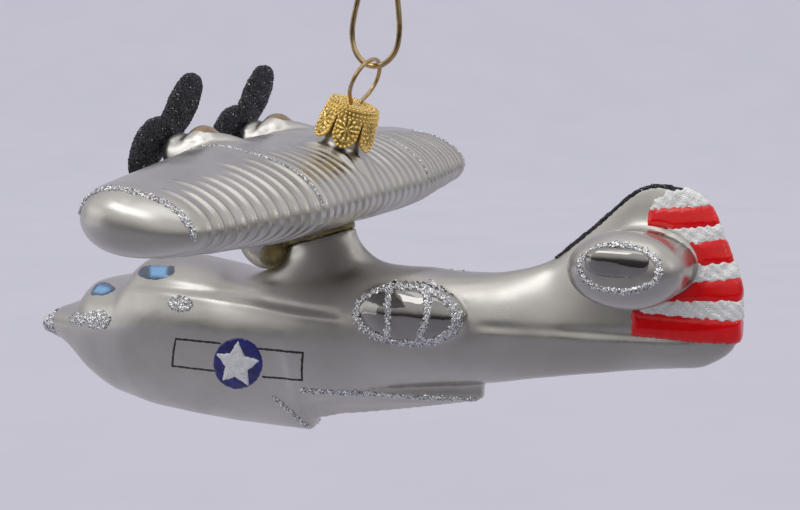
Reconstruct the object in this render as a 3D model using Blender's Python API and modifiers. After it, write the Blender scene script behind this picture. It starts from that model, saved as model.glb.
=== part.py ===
"""Blown-glass tree ornament in the form of a twin-engined flying boat.

Two blown pieces of glass, a hull and a wing, are glued together at a pylon. A gold crown
cap sits on the wing's open neck, a wire loop stands on the cap, and a wire hook holds the
loop. Metres, +Z up, nose towards -X, port side towards -Y.

The world origin is the point where the hook's crook hangs on a branch. The tables below
are measured from the wing centre, and everything hangs from the hook by parent empties.
"""

import math
from typing import NamedTuple

import bmesh
import bpy
from mathutils import Matrix, Vector

MM = 0.001
GAP = 0.3 * MM

# Hanging hook, measured from the bottom of its eye
HOOK_WIRE = 1.0 * MM
HOOK_CROOK_RADIUS = 7.5 * MM
HOOK_CROOK_HEIGHT = 37.0 * MM
HOOK_CROOK_OFFSET = 0.3 * MM
HOOK_SAMPLES = 76

# Crown cap and its loop, measured up the neck's axis from the cap's rim
NECK_LEAN = math.radians(21.8)
CAP_RIM = Vector((5.2 * MM, 0.0, 9.0 * MM))
CAP_HEIGHT = 7.2 * MM
CAP_RIM_RADIUS = 5.35 * MM
CAP_TOP_RADIUS = 4.55 * MM
CAP_WALL = 0.4 * MM
CAP_EDGE = 0.5 * MM
CAP_INNER_EDGE = 0.1 * MM
CAP_TURN_STEPS = 32
CAP_LOBES = 6
CAP_FIRST_NOTCH = math.radians(-35.0)
CAP_NOTCH_HALF_WIDTH = 1.25 * MM
CAP_NOTCH_HEIGHT = 3.6 * MM
CAP_NOTCH_START = 2.0 * MM
CAP_NOTCH_END = 8.0 * MM
LEG_SPACING = 4.0 * MM
LEG_ROUTE = [(2.2 * MM, -3.5 * MM), (2.2 * MM, 0.5 * MM), (2.1 * MM, 3.8 * MM), (2.0 * MM, 5.9 * MM)]
LEG_HOLE_DIAMETER = 1.4 * MM
LEG_HOLE_BOTTOM = 5.0 * MM
LEG_HOLE_TOP = 10.0 * MM
LOOP_WIRE = 0.75 * MM
LOOP_HALF_WIDTH = 4.9 * MM
LOOP_HALF_HEIGHT = 4.2 * MM
LOOP_CENTRE = 11.75 * MM
LOOP_LEAN = math.radians(3.0)
LOOP_TURNS = 28

# Neck of the wing glass
NECK_RADIUS = 3.8 * MM
NECK_BORE_RADIUS = 2.95 * MM
NECK_ROOT = -7.5 * MM
NECK_TOP = CAP_HEIGHT - CAP_WALL - GAP
BORE_DEPTH = 12.0 * MM
BORE_OPENING = 1.0 * MM

# Wing
HALF_SPAN = 57.0 * MM
TIP_START = 48.9 * MM
TIP_ROUNDNESS = 2.6
PANEL_BREAK = 21.5 * MM
ROOT_CHORD = 32.0 * MM
ROOT_DEPTH = 16.8 * MM
ROOT_MIDDLE = Vector((-3.0 * MM, 0.0, 0.5 * MM))
TIP_CHORD = 21.4 * MM
TIP_DEPTH = 10.8 * MM
TIP_MIDDLE = Vector((-4.0 * MM, 0.0, 0.2 * MM))
INCIDENCE = math.radians(7.0)
WING_ROLL = math.radians(1.4)
NOSE_FULLNESS = 0.28
UNDERSIDE_SHARE = 0.92
TIP_SHARES = (0.2, 0.45, 0.65, 0.8, 0.9, 0.957, 0.988)
WING_POINTS = 24
RIB_PITCH = 2.7 * MM
RIB_COUNT = 36
RIB_HEIGHT = 0.32 * MM
RIB_START = -0.06
RIB_RAMP = 0.14

# Seat where the wing is glued to the pylon: a slanted plane that rises aft
SEAT_FRONT = Vector((-7.0 * MM, 0.0, -10.2 * MM))
SEAT_BACK = Vector((7.5 * MM, 0.0, -5.9 * MM))
SEAT_HALF_WIDTH = 3.8 * MM
SEAT_POINTS = 24
SADDLE_HEIGHT = 5.0 * MM
SADDLE_GROWTH = 1.15
GLUE_THICKNESS = 0.7 * MM
GLUE_EDGE_SHARE = 0.95
GLUE_BULGE_SHARE = 0.2
LOBE_CENTRE = Vector((-11.9 * MM, 0.0, -8.7 * MM))
LOBE_SIZE = Vector((5.0 * MM, 4.2 * MM, 6.4 * MM))

# Engines
ENGINE_OFFSET = 13.5 * MM
PROPELLER_HUB = Vector((-23.3 * MM, 0.0, 10.4 * MM))
PROPELLER_LEAN = math.radians(52.0)

# Tail and blisters
STUB_CENTRE = Vector((62.2 * MM, 0.0, -9.4 * MM))
BLISTER_CENTRE = Vector((22.4 * MM, 8.2 * MM, -20.0 * MM))
BLISTER_SIZE = Vector((10.4 * MM, 4.4 * MM, 5.4 * MM))

HULL_POINTS = 24
OVAL_POINTS = 24
NACELLE_POINTS = 20
BLADE_POINTS = 16


class HullStation(NamedTuple):
    """One cross-section of the hull, in millimetres from the wing centre."""

    x: float
    top: float
    keel: float
    widest: float
    half_width: float
    top_power: float
    keel_power: float


HULL_STATIONS = [
    HullStation(-61.6, -28.1, -29.9, -29.0, 0.9, 2.0, 2.0),
    HullStation(-60.9, -27.2, -30.8, -29.0, 1.8, 2.0, 2.0),
    HullStation(-59.7, -26.8, -31.2, -29.0, 2.2, 2.0, 2.0),
    HullStation(-58.5, -26.6, -31.3, -28.9, 2.4, 2.0, 2.0),
    HullStation(-57.2, -25.8, -31.4, -28.6, 3.0, 2.0, 2.0),
    HullStation(-53.5, -24.4, -33.3, -28.6, 5.0, 2.0, 2.0),
    HullStation(-50.2, -22.9, -36.0, -28.6, 6.6, 2.0, 2.0),
    HullStation(-48.2, -20.4, -37.7, -28.4, 7.6, 2.0, 2.0),
    HullStation(-45.6, -18.8, -39.4, -28.0, 8.7, 2.0, 2.0),
    HullStation(-42.0, -18.2, -41.1, -27.6, 9.8, 2.0, 1.9),
    HullStation(-38.6, -17.6, -42.1, -27.2, 10.7, 2.0, 1.8),
    HullStation(-36.4, -15.4, -42.6, -26.8, 11.2, 2.0, 1.8),
    HullStation(-33.6, -13.8, -43.2, -26.4, 11.7, 2.0, 1.7),
    HullStation(-28.0, -13.4, -43.8, -26.0, 12.4, 2.1, 1.6),
    HullStation(-20.0, -14.4, -44.4, -25.8, 13.0, 2.2, 1.5),
    HullStation(-12.0, -15.8, -44.7, -25.8, 13.2, 2.3, 1.45),
    HullStation(-5.0, -15.4, -44.8, -25.8, 13.1, 2.3, 1.4),
    HullStation(-1.2, -14.8, -44.8, -25.8, 12.9, 2.3, 1.4),
    HullStation(0.6, -14.4, -40.4, -25.8, 12.8, 2.3, 1.9),
    HullStation(6.0, -13.5, -38.8, -25.6, 12.3, 2.4, 2.0),
    HullStation(13.0, -13.0, -36.8, -25.4, 11.6, 2.5, 2.0),
    HullStation(20.0, -13.0, -35.0, -25.0, 10.6, 2.5, 2.0),
    HullStation(27.0, -13.3, -33.8, -24.4, 9.2, 2.4, 2.0),
    HullStation(34.0, -13.1, -32.7, -23.8, 7.6, 2.1, 2.0),
    HullStation(40.6, -11.9, -31.5, -23.2, 6.2, 1.8, 2.0),
    HullStation(45.2, -10.1, -30.7, -22.8, 5.4, 1.5, 2.0),
    HullStation(49.6, -6.5, -29.9, -22.6, 4.8, 1.35, 2.0),
    HullStation(53.9, -2.8, -29.2, -22.6, 4.4, 1.3, 2.0),
    HullStation(57.6, 0.6, -28.6, -22.6, 4.1, 1.3, 2.0),
    HullStation(60.9, 3.0, -28.1, -22.6, 3.8, 1.3, 2.0),
    HullStation(64.3, 3.8, -27.6, -22.4, 3.6, 1.35, 2.0),
    HullStation(68.0, 3.3, -27.2, -22.0, 3.4, 1.4, 2.0),
    HullStation(70.0, 2.4, -27.0, -21.6, 3.3, 1.45, 2.0),
    HullStation(72.2, 1.0, -26.6, -21.0, 3.1, 1.5, 2.0),
    HullStation(74.0, -2.2, -25.7, -20.3, 2.9, 1.6, 2.0),
    HullStation(75.8, -6.8, -24.6, -19.6, 2.5, 1.7, 2.0),
    HullStation(77.4, -10.4, -23.0, -18.7, 1.8, 1.8, 2.0),
    HullStation(78.2, -13.6, -21.2, -18.0, 1.0, 2.0, 2.0),
]


class AfterbodyStation(NamedTuple):
    """One cross-section of the planing bottom behind the main step, in millimetres."""

    x: float
    keel: float
    half_width: float


AFTERBODY_CHINE = -35.4
AFTERBODY_TOP = -27.0
AFTERBODY_TOP_SHARE = 0.6
AFTERBODY_KNEE_SHARE = 0.55
AFTERBODY_KNEE_DROP = 0.52
AFTERBODY_STATIONS = [
    AfterbodyStation(-1.0, -42.6, 9.4),
    AfterbodyStation(1.5, -42.2, 9.0),
    AfterbodyStation(4.7, -41.3, 8.4),
    AfterbodyStation(13.3, -39.9, 6.6),
    AfterbodyStation(25.2, -37.6, 3.6),
    AfterbodyStation(31.0, -36.4, 1.9),
    AfterbodyStation(33.0, -35.6, 0.9),
]


class StubRing(NamedTuple):
    """One oval of a tailplane stub, from the centre plane outwards, in millimetres."""

    y: float
    half_chord: float
    half_depth: float


STUB_RINGS = [
    StubRing(0.0, 8.8, 4.8),
    StubRing(5.0, 9.4, 5.5),
    StubRing(9.0, 9.9, 6.2),
    StubRing(12.0, 9.8, 6.4),
    StubRing(14.2, 8.8, 5.7),
    StubRing(15.6, 6.9, 4.5),
    StubRing(16.4, 4.2, 2.6),
]


class NacelleStation(NamedTuple):
    """One upright oval of an engine nacelle, in millimetres from the unrolled wing centre."""

    x: float
    top: float
    bottom: float
    half_width: float


NACELLE_STATIONS = [
    NacelleStation(-21.6, 9.6, 5.6, 2.4),
    NacelleStation(-21.4, 10.3, 4.4, 3.6),
    NacelleStation(-20.8, 10.8, 3.2, 4.3),
    NacelleStation(-19.8, 10.9, 2.2, 4.6),
    NacelleStation(-18.6, 10.5, 1.4, 4.6),
    NacelleStation(-17.6, 11.3, 0.8, 4.5),
    NacelleStation(-16.6, 12.05, 0.4, 4.3),
    NacelleStation(-15.2, 12.35, 0.4, 4.1),
    NacelleStation(-13.9, 12.0, 0.4, 3.9),
    NacelleStation(-12.8, 11.2, 0.4, 3.7),
    NacelleStation(-10.5, 10.85, 0.4, 3.4),
    NacelleStation(-6.5, 9.9, 0.4, 3.0),
    NacelleStation(-2.0, 8.6, 0.4, 2.4),
]


class BladeRing(NamedTuple):
    """One oval of the two paddles, from the lower tip to the upper, in millimetres from the hub."""

    along: float
    half_width: float
    half_thickness: float
    sideways: float


BLADE_RINGS = [
    BladeRing(-12.2, 0.7, 0.4, -2.4),
    BladeRing(-11.6, 1.4, 0.7, -2.4),
    BladeRing(-10.2, 2.3, 0.95, -2.4),
    BladeRing(-8.2, 3.1, 1.15, -2.4),
    BladeRing(-5.6, 3.7, 1.3, -2.3),
    BladeRing(-3.2, 3.8, 1.4, -2.1),
    BladeRing(-1.0, 3.6, 1.5, -1.7),
    BladeRing(1.2, 3.5, 1.5, -1.0),
    BladeRing(3.4, 3.6, 1.4, -0.5),
    BladeRing(6.6, 3.9, 1.25, -0.3),
    BladeRing(9.4, 3.9, 1.2, -0.3),
    BladeRing(11.8, 3.6, 1.1, -0.4),
    BladeRing(13.6, 2.7, 0.95, -0.4),
    BladeRing(14.8, 1.6, 0.7, -0.2),
    BladeRing(15.3, 0.8, 0.4, -0.1),
]


class PylonRing(NamedTuple):
    """One oval of the pylon, in millimetres, tilted nose down by some degrees."""

    x: float
    z: float
    half_length: float
    half_width: float
    tilt: float


PYLON_RINGS = [
    PylonRing(2.4, -20.0, 17.0, 8.4, 0.0),
    PylonRing(2.6, -15.8, 13.6, 7.0, 0.0),
    PylonRing(2.6, -13.2, 10.2, 5.6, 3.0),
    PylonRing(1.7, -11.6, 8.3, 4.7, 8.0),
    PylonRing(0.9, -10.0, 7.4, 4.2, 13.0),
]

# Hook wire: angles round the crook, then the offset aft and height above the eye's bottom
HOOK_CROOK_DEGREES = (205, 180, 155, 130, 105, 80, 55, 30, 5)
HOOK_ROUTE = [
    (7.3, 33.2),
    (5.2, 29.2),
    (2.6, 25.6),
    (0.4, 21.5),
    (-1.4, 17.0),
    (-3.0, 12.0),
    (-4.2, 6.6),
    (-3.8, 3.0),
    (-2.1, 0.7),
    (0.0, 0.0),
    (2.3, 0.6),
    (4.3, 2.8),
    (5.0, 6.4),
    (4.6, 12.0),
    (3.8, 17.0),
    (3.0, 20.6),
    (2.4, 22.6),
]


def loop_point(across, height) -> Vector:
    """Place on the loop, from the cap's rim: above the cap it leans a little more aft."""
    rise = max(0.0, height - CAP_HEIGHT)
    return Vector((math.sin(LOOP_LEAN) * rise, across, height - (1 - math.cos(LOOP_LEAN)) * rise))


def loop_top() -> Vector:
    """Centre of the loop's wire at its top."""
    turn = Matrix.Rotation(NECK_LEAN, 3, "Y")
    return CAP_RIM + turn @ loop_point(0.0, LOOP_CENTRE + LOOP_HALF_HEIGHT)


def hook_eye() -> Vector:
    """Centre of the hook's wire at the bottom of its eye, where the loop swings."""
    return loop_top() - Vector((0.0, 0.0, (LOOP_WIRE + HOOK_WIRE) / 2 + GAP))


def hang_point() -> Vector:
    """Inside of the hook's crook, the point that hangs on a branch."""
    height = HOOK_CROOK_HEIGHT + HOOK_CROOK_RADIUS - HOOK_WIRE / 2
    return hook_eye() + Vector((HOOK_CROOK_OFFSET, 0.0, height))


def seat_turn() -> Matrix:
    """Turn from level to the slant of the seat."""
    slope = SEAT_BACK - SEAT_FRONT
    return Matrix.Rotation(-math.atan2(slope.z, slope.x), 3, "Y")


def seat_ring(lift, growth):
    """Oval parallel to the seat, from the wing centre, above the glue's middle by lift."""
    turn = seat_turn()
    middle = (SEAT_FRONT + SEAT_BACK) / 2
    length = (SEAT_BACK - SEAT_FRONT).length
    outline = oval(SEAT_POINTS, growth * length / 2, growth * SEAT_HALF_WIDTH)
    return [turn @ Vector((a, b, lift)) + middle for a, b in outline]


def clear_scene() -> None:
    """Remove every object of the scene."""
    for obj in list(bpy.data.objects):
        bpy.data.objects.remove(obj, do_unlink=True)


def new_collection(name: str) -> bpy.types.Collection:
    """Add a collection to the scene."""
    collection = bpy.data.collections.new(name)
    bpy.context.scene.collection.children.link(collection)
    return collection


def make_material(name, colour, roughness, metallic) -> bpy.types.Material:
    """Principled material of one colour."""
    material = bpy.data.materials.new(name)
    material.use_nodes = True
    shader = material.node_tree.nodes["Principled BSDF"]
    shader.inputs["Base Color"].default_value = (*colour, 1.0)
    shader.inputs["Roughness"].default_value = roughness
    shader.inputs["Metallic"].default_value = metallic
    material.diffuse_color = (*colour, 1.0)
    return material


def add_empty(name, place, parent, collection) -> bpy.types.Object:
    """Empty at a world place, kept there under its parent."""
    empty = bpy.data.objects.new(name, None)
    collection.objects.link(empty)
    hang_on(empty, place, parent)
    return empty


def hang_on(obj, place, parent) -> None:
    """Put an object at a world place as a child of an unturned parent."""
    offset = Vector((0.0, 0.0, 0.0))
    link = parent
    while link is not None:
        offset += link.location
        link = link.parent
    obj.parent = parent
    obj.location = place - offset


def new_mesh_object(name, mesh, collection, material=None) -> bpy.types.Object:
    """Link a mesh as an object with one material."""
    obj = bpy.data.objects.new(name, mesh)
    collection.objects.link(obj)
    if material is not None:
        mesh.materials.append(material)
    return obj


def loft(name, rings) -> bpy.types.Mesh:
    """Skin closed rings of equal counts, with a flat cap on both ends."""
    mesh = bpy.data.meshes.new(name)
    bm = bmesh.new()
    layers = [[bm.verts.new(point) for point in ring] for ring in rings]
    count = len(layers[0])
    for lower, upper in zip(layers, layers[1:]):
        for i in range(count):
            j = (i + 1) % count
            bm.faces.new((lower[i], lower[j], upper[j], upper[i]))
    bm.faces.new(reversed(layers[0]))
    bm.faces.new(layers[-1])
    bmesh.ops.recalc_face_normals(bm, faces=bm.faces)
    bm.to_mesh(mesh)
    bm.free()
    mesh.shade_smooth()
    mesh.set_sharp_from_angle(angle=math.radians(40))
    return mesh


def oval(count, half_a, half_b, power=2.0):
    """Points (a, b) of a superellipse, counter-clockwise from +a."""
    points = []
    for i in range(count):
        turn = 2 * math.pi * i / count
        a = math.copysign(abs(math.cos(turn)) ** (2 / power), math.cos(turn))
        b = math.copysign(abs(math.sin(turn)) ** (2 / power), math.sin(turn))
        points.append((half_a * a, half_b * b))
    return points


def add_boolean(obj, tool, operation) -> None:
    """Join or cut an object with another one."""
    modifier = obj.modifiers.new(operation.lower() + "_" + tool.name, "BOOLEAN")
    modifier.operation = operation
    modifier.solver = "EXACT"
    modifier.object = tool


def hide_tool(tool) -> None:
    """Mark a Boolean's second object as a tool."""
    tool.hide_render = True
    tool.display_type = "WIRE"


def ball(name, half_axes, collection) -> bpy.types.Object:
    """Ellipsoid about its own origin."""
    mesh = bpy.data.meshes.new(name)
    bm = bmesh.new()
    bmesh.ops.create_uvsphere(bm, u_segments=24, v_segments=12, radius=1.0)
    bmesh.ops.scale(bm, vec=half_axes, verts=bm.verts)
    bm.to_mesh(mesh)
    bm.free()
    mesh.shade_smooth()
    return new_mesh_object(name, mesh, collection)


def rod(name, radius, low, high, collection, segments=24) -> bpy.types.Object:
    """Cylinder along its own Z from low to high."""
    mesh = bpy.data.meshes.new(name)
    bm = bmesh.new()
    bmesh.ops.create_cone(
        bm,
        cap_ends=True,
        segments=segments,
        radius1=radius,
        radius2=radius,
        depth=high - low,
        matrix=Matrix.Translation((0.0, 0.0, (low + high) / 2)),
    )
    bm.to_mesh(mesh)
    bm.free()
    mesh.shade_smooth()
    mesh.set_sharp_from_angle(angle=math.radians(40))
    return new_mesh_object(name, mesh, collection)


def smooth_route(route, samples):
    """Evenly numbered points on a smooth curve through every point of a route."""
    padded = [2 * route[0] - route[1], *route, 2 * route[-1] - route[-2]]
    spans = len(route) - 1
    points = []
    for i in range(samples + 1):
        place = spans * i / samples
        span = min(int(place), spans - 1)
        share = place - span
        before, start, end, after = padded[span : span + 4]
        leave = (end - before) / 2
        arrive = (after - start) / 2
        bend = 3 * (end - start) - 2 * leave - arrive
        turn_back = 2 * (start - end) + leave + arrive
        points.append(start + leave * share + bend * share**2 + turn_back * share**3)
    return points


def wire(name, points, diameter, collection, material) -> bpy.types.Object:
    """Round wire along points, with filled ends."""
    curve = bpy.data.curves.new(name, "CURVE")
    curve.dimensions = "3D"
    curve.bevel_depth = diameter / 2
    curve.bevel_resolution = 2
    curve.use_fill_caps = True
    spline = curve.splines.new("POLY")
    spline.points.add(len(points) - 1)
    for knot, point in zip(spline.points, points):
        knot.co = (*point, 1.0)
    obj = bpy.data.objects.new(name, curve)
    collection.objects.link(obj)
    curve.materials.append(material)
    return obj


def hull_ring(station: HullStation):
    """Ring of one hull station: round above the widest line, finer below it."""
    ring = []
    for i in range(HULL_POINTS):
        turn = 2 * math.pi * i / HULL_POINTS
        upper = math.cos(turn) >= 0
        power = station.top_power if upper else station.keel_power
        reach = station.top - station.widest if upper else station.widest - station.keel
        side = math.copysign(abs(math.sin(turn)) ** (2 / power), math.sin(turn))
        height = math.copysign(abs(math.cos(turn)) ** (2 / power), math.cos(turn))
        ring.append(
            Vector((station.x, station.half_width * side, station.widest + reach * height)) * MM
        )
    return ring


def afterbody_ring(station: AfterbodyStation):
    """Wedge under the hull behind the main step: a V between two chines."""
    chine = station.half_width
    knee = AFTERBODY_KNEE_SHARE * chine
    knee_height = AFTERBODY_CHINE + (station.keel - AFTERBODY_CHINE) * AFTERBODY_KNEE_DROP
    top_half = AFTERBODY_TOP_SHARE * chine
    starboard = [(knee, knee_height), (chine, AFTERBODY_CHINE), (top_half, AFTERBODY_TOP)]
    port = [(-y, z) for y, z in reversed(starboard)]
    outline = [(0.0, station.keel), *starboard, *port]
    return [Vector((station.x, y, z)) * MM for y, z in outline]


def stub_rings():
    """Rings of both tailplane stubs, from the port end to the starboard end."""
    port = [ring._replace(y=-ring.y) for ring in reversed(STUB_RINGS)]
    rings = []
    for ring in port + STUB_RINGS[1:]:
        outline = oval(OVAL_POINTS, ring.half_chord, ring.half_depth)
        rings.append([Vector((a, ring.y, b)) * MM for a, b in outline])
    return rings


def pylon_rings():
    """Rings of the pylon, each tilted a little more, up to the seat under the glue."""
    rings = []
    for row in PYLON_RINGS:
        turn = Matrix.Rotation(-math.radians(row.tilt), 3, "Y")
        outline = oval(OVAL_POINTS, row.half_length, row.half_width)
        centre = Vector((row.x, 0.0, row.z))
        rings.append([(turn @ Vector((a, b, 0.0)) + centre) * MM for a, b in outline])
    rings.append(seat_ring(-GLUE_THICKNESS / 2 - GAP, 1.0))
    return rings


def build_hull(centre, parts, tools, parent, material):
    """Hull, pylon, fin, stubs and blisters as one blown piece."""
    rings = [hull_ring(station) for station in HULL_STATIONS]
    hull = new_mesh_object("hull_glass", loft("hull_glass", rings), parts, material)
    hang_on(hull, centre, parent)
    wedge = loft("afterbody", [afterbody_ring(station) for station in AFTERBODY_STATIONS])
    afterbody = new_mesh_object("afterbody", wedge, tools)
    pylon = new_mesh_object("pylon", loft("pylon", pylon_rings()), tools)
    added = [afterbody, pylon]
    for tool in added:
        hang_on(tool, centre, parent)
    stubs = new_mesh_object("tailplane_stubs", loft("tailplane_stubs", stub_rings()), tools)
    hang_on(stubs, centre + STUB_CENTRE, parent)
    added.append(stubs)
    for side, label in ((-1, "port"), (1, "starboard")):
        blister = ball("blister_" + label, BLISTER_SIZE, tools)
        offset = Vector((BLISTER_CENTRE.x, side * BLISTER_CENTRE.y, BLISTER_CENTRE.z))
        hang_on(blister, centre + offset, parent)
        added.append(blister)
    for tool in added:
        add_boolean(hull, tool, "UNION")
        hide_tool(tool)
    return hull


def wing_measures(y):
    """Chord, depth and middle of the wing at a place along the span."""
    reach = max(0.0, abs(y) - PANEL_BREAK) / (HALF_SPAN - PANEL_BREAK)
    chord = ROOT_CHORD + (TIP_CHORD - ROOT_CHORD) * reach
    depth = ROOT_DEPTH + (TIP_DEPTH - ROOT_DEPTH) * reach
    middle = ROOT_MIDDLE.lerp(TIP_MIDDLE, reach)
    past = max(0.0, abs(y) - TIP_START) / (HALF_SPAN - TIP_START)
    shrink = (1.0 - min(past, 0.999) ** TIP_ROUNDNESS) ** (1 / TIP_ROUNDNESS)
    return chord * shrink, depth * shrink, middle


def rib_share(fore_aft):
    """How fully the ribs are raised, from 0 ahead of mid-chord to 1 behind it."""
    return min(1.0, max(0.0, (fore_aft / 2 - RIB_START) / RIB_RAMP))


def section_height(aft, up):
    """Height of the wing's section, fullest at the nose and flatter underneath."""
    if up >= 0:
        return up * (1.0 + NOSE_FULLNESS * max(0.0, -aft))
    return UNDERSIDE_SHARE * up * (1.0 - NOSE_FULLNESS * aft)


def rolled(point) -> Vector:
    """Turn a place about the wing's centre by the wing's roll, starboard side up."""
    return Matrix.Rotation(WING_ROLL, 3, "X") @ point


def wing_ring(y, rib):
    """Section of the wing, raised or sunk by a rib on its aft half."""
    chord, depth, middle = wing_measures(y)
    incidence = Matrix.Rotation(INCIDENCE, 3, "Y")
    ring = []
    for i in range(WING_POINTS):
        turn = 2 * math.pi * i / WING_POINTS
        aft = math.cos(turn)
        up = math.sin(turn)
        point = Vector((aft * chord / 2, 0.0, section_height(aft, up) * depth / 2))
        outward = Vector((aft * depth, 0.0, up * chord)).normalized()
        point += outward * rib * RIB_HEIGHT / 2 * rib_share(aft)
        ring.append(rolled(incidence @ point + middle + Vector((0.0, y, 0.0))))
    return ring


def wing_stations():
    """Places along the span with their rib: +1 on a crest, -1 in a groove."""
    half = RIB_COUNT * RIB_PITCH / 2
    ribbed = []
    for i in range(2 * RIB_COUNT + 1):
        ribbed.append((-half + i * RIB_PITCH / 2, 1 if i % 2 else -1))
    tip = [TIP_START + share * (HALF_SPAN - TIP_START) for share in TIP_SHARES]
    port = [(-y, 0) for y in reversed(tip)]
    starboard = [(y, 0) for y in tip]
    return port + ribbed + starboard


def nacelle_ring(station: NacelleStation):
    """Upright oval of one nacelle station."""
    middle = (station.top + station.bottom) / 2
    outline = oval(NACELLE_POINTS, station.half_width, station.top - middle)
    return [Vector((station.x, a, middle + b)) * MM for a, b in outline]


def saddle_rings():
    """Lump under the wing's centre, from the seat above the glue up into the wing."""
    return [seat_ring(GLUE_THICKNESS / 2 + GAP, 1.0), seat_ring(SADDLE_HEIGHT, SADDLE_GROWTH)]


def engine_place(side, place) -> Vector:
    """Place on one engine, from the wing centre, on the rolled wing."""
    return rolled(place + Vector((0.0, side * ENGINE_OFFSET, 0.0)))


def build_wing(centre, parts, tools, parent, material):
    """Wing with ribs, nacelles, belly saddle and open neck as one blown piece."""
    rings = [wing_ring(y, rib) for y, rib in wing_stations()]
    wing = new_mesh_object("wing_glass", loft("wing_glass", rings), parts, material)
    hang_on(wing, centre, parent)
    saddle = new_mesh_object("saddle_seat", loft("saddle_seat", saddle_rings()), tools)
    hang_on(saddle, centre, parent)
    lobe = ball("belly_lobe", LOBE_SIZE, tools)
    hang_on(lobe, centre + LOBE_CENTRE, parent)
    added = [saddle, lobe]
    for side, label in ((-1, "port"), (1, "starboard")):
        mesh = loft("nacelle_" + label, [nacelle_ring(station) for station in NACELLE_STATIONS])
        nacelle = new_mesh_object("nacelle_" + label, mesh, tools)
        hang_on(nacelle, centre + engine_place(side, Vector((0.0, 0.0, 0.0))), parent)
        nacelle.rotation_euler = (WING_ROLL, 0.0, 0.0)
        added.append(nacelle)
    neck = rod("neck", NECK_RADIUS, NECK_ROOT, NECK_TOP, tools)
    added.append(neck)
    bore_bottom = NECK_TOP - BORE_DEPTH
    bore = rod("neck_bore", NECK_BORE_RADIUS, bore_bottom, NECK_TOP + BORE_OPENING, tools)
    for tool in (neck, bore):
        hang_on(tool, centre + CAP_RIM, parent)
        tool.rotation_euler = (0.0, NECK_LEAN, 0.0)
    for tool in added:
        add_boolean(wing, tool, "UNION")
        hide_tool(tool)
    add_boolean(wing, bore, "DIFFERENCE")
    hide_tool(bore)
    return wing


def build_glue(centre, parts, parent, material):
    """Bead of glue that fills the seat between pylon and wing."""
    half = GLUE_THICKNESS / 2
    bulge = GLUE_THICKNESS * GLUE_BULGE_SHARE
    rings = [
        seat_ring(-half, GLUE_EDGE_SHARE),
        seat_ring(-bulge, 1.0),
        seat_ring(bulge, 1.0),
        seat_ring(half, GLUE_EDGE_SHARE),
    ]
    glue = new_mesh_object("glue_bead", loft("glue_bead", rings), parts, material)
    hang_on(glue, centre, parent)
    return glue


def blade_rings():
    """Rings of both paddles, which stand a little to either side of each other like a flat S."""
    rings = []
    for ring in BLADE_RINGS:
        outline = oval(BLADE_POINTS, ring.half_width, ring.half_thickness)
        rings.append([Vector((b, a + ring.sideways, ring.along)) * MM for a, b in outline])
    return rings


def build_propeller(label, side, centre, parts, parent, material):
    """Two thick paddles in one piece, glued to a nacelle's front."""
    mesh = loft("propeller_" + label, blade_rings())
    propeller = new_mesh_object("propeller_" + label, mesh, parts, material)
    hang_on(propeller, centre + engine_place(side, PROPELLER_HUB), parent)
    propeller.rotation_euler = (WING_ROLL - PROPELLER_LEAN, 0.0, 0.0)
    return propeller


def build_cap(centre, parts, tools, parent, material):
    """Turned metal cap with a scalloped rim and two holes for the loop's legs."""
    inner_top = CAP_HEIGHT - CAP_WALL
    inner_radius = CAP_TOP_RADIUS - CAP_WALL
    profile = [
        (0.0, CAP_HEIGHT),
        (CAP_TOP_RADIUS - CAP_EDGE, CAP_HEIGHT),
        (CAP_TOP_RADIUS, CAP_HEIGHT - CAP_EDGE),
        (CAP_RIM_RADIUS, 0.0),
        (CAP_RIM_RADIUS - CAP_WALL, 0.0),
        (inner_radius, inner_top - CAP_INNER_EDGE),
        (inner_radius - CAP_INNER_EDGE, inner_top),
        (0.0, inner_top),
    ]
    mesh = bpy.data.meshes.new("crown_cap")
    bm = bmesh.new()
    knots = [bm.verts.new((radius, 0.0, height)) for radius, height in profile]
    for first, second in zip(knots, knots[1:]):
        bm.edges.new((first, second))
    bm.to_mesh(mesh)
    bm.free()
    cap = new_mesh_object("crown_cap", mesh, parts, material)
    hang_on(cap, centre + CAP_RIM, parent)
    cap.rotation_euler = (0.0, NECK_LEAN, 0.0)
    screw = cap.modifiers.new("turn", "SCREW")
    screw.axis = "Z"
    screw.angle = 2 * math.pi
    screw.steps = CAP_TURN_STEPS
    screw.render_steps = CAP_TURN_STEPS
    screw.use_merge_vertices = True
    screw.merge_threshold = 0.00005
    frame = Matrix.Translation(centre + CAP_RIM) @ Matrix.Rotation(NECK_LEAN, 4, "Y")
    outwards = Matrix.Rotation(math.pi / 2, 4, "Y")
    for i in range(CAP_LOBES):
        name = "notch_%d" % (i + 1)
        notch = rod(name, CAP_NOTCH_HALF_WIDTH, CAP_NOTCH_START, CAP_NOTCH_END, tools, 16)
        turn = Matrix.Rotation(CAP_FIRST_NOTCH + 2 * math.pi * i / CAP_LOBES, 4, "Z")
        set_tool_frame(notch, frame @ turn @ outwards, parent)
        notch.scale = (CAP_NOTCH_HEIGHT / CAP_NOTCH_HALF_WIDTH, 1.0, 1.0)
        add_boolean(cap, notch, "DIFFERENCE")
        hide_tool(notch)
    for side, label in ((-1, "port"), (1, "starboard")):
        name = "leg_hole_" + label
        hole = rod(name, LEG_HOLE_DIAMETER / 2, LEG_HOLE_BOTTOM, LEG_HOLE_TOP, tools, 12)
        shift = Matrix.Translation((0.0, side * LEG_SPACING / 2, 0.0))
        set_tool_frame(hole, frame @ shift, parent)
        add_boolean(cap, hole, "DIFFERENCE")
        hide_tool(hole)
    return cap


def set_tool_frame(tool, frame, parent) -> None:
    """Place a tool by a world matrix under an unturned parent."""
    hang_on(tool, frame.to_translation(), parent)
    tool.rotation_euler = frame.to_euler()


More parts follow.
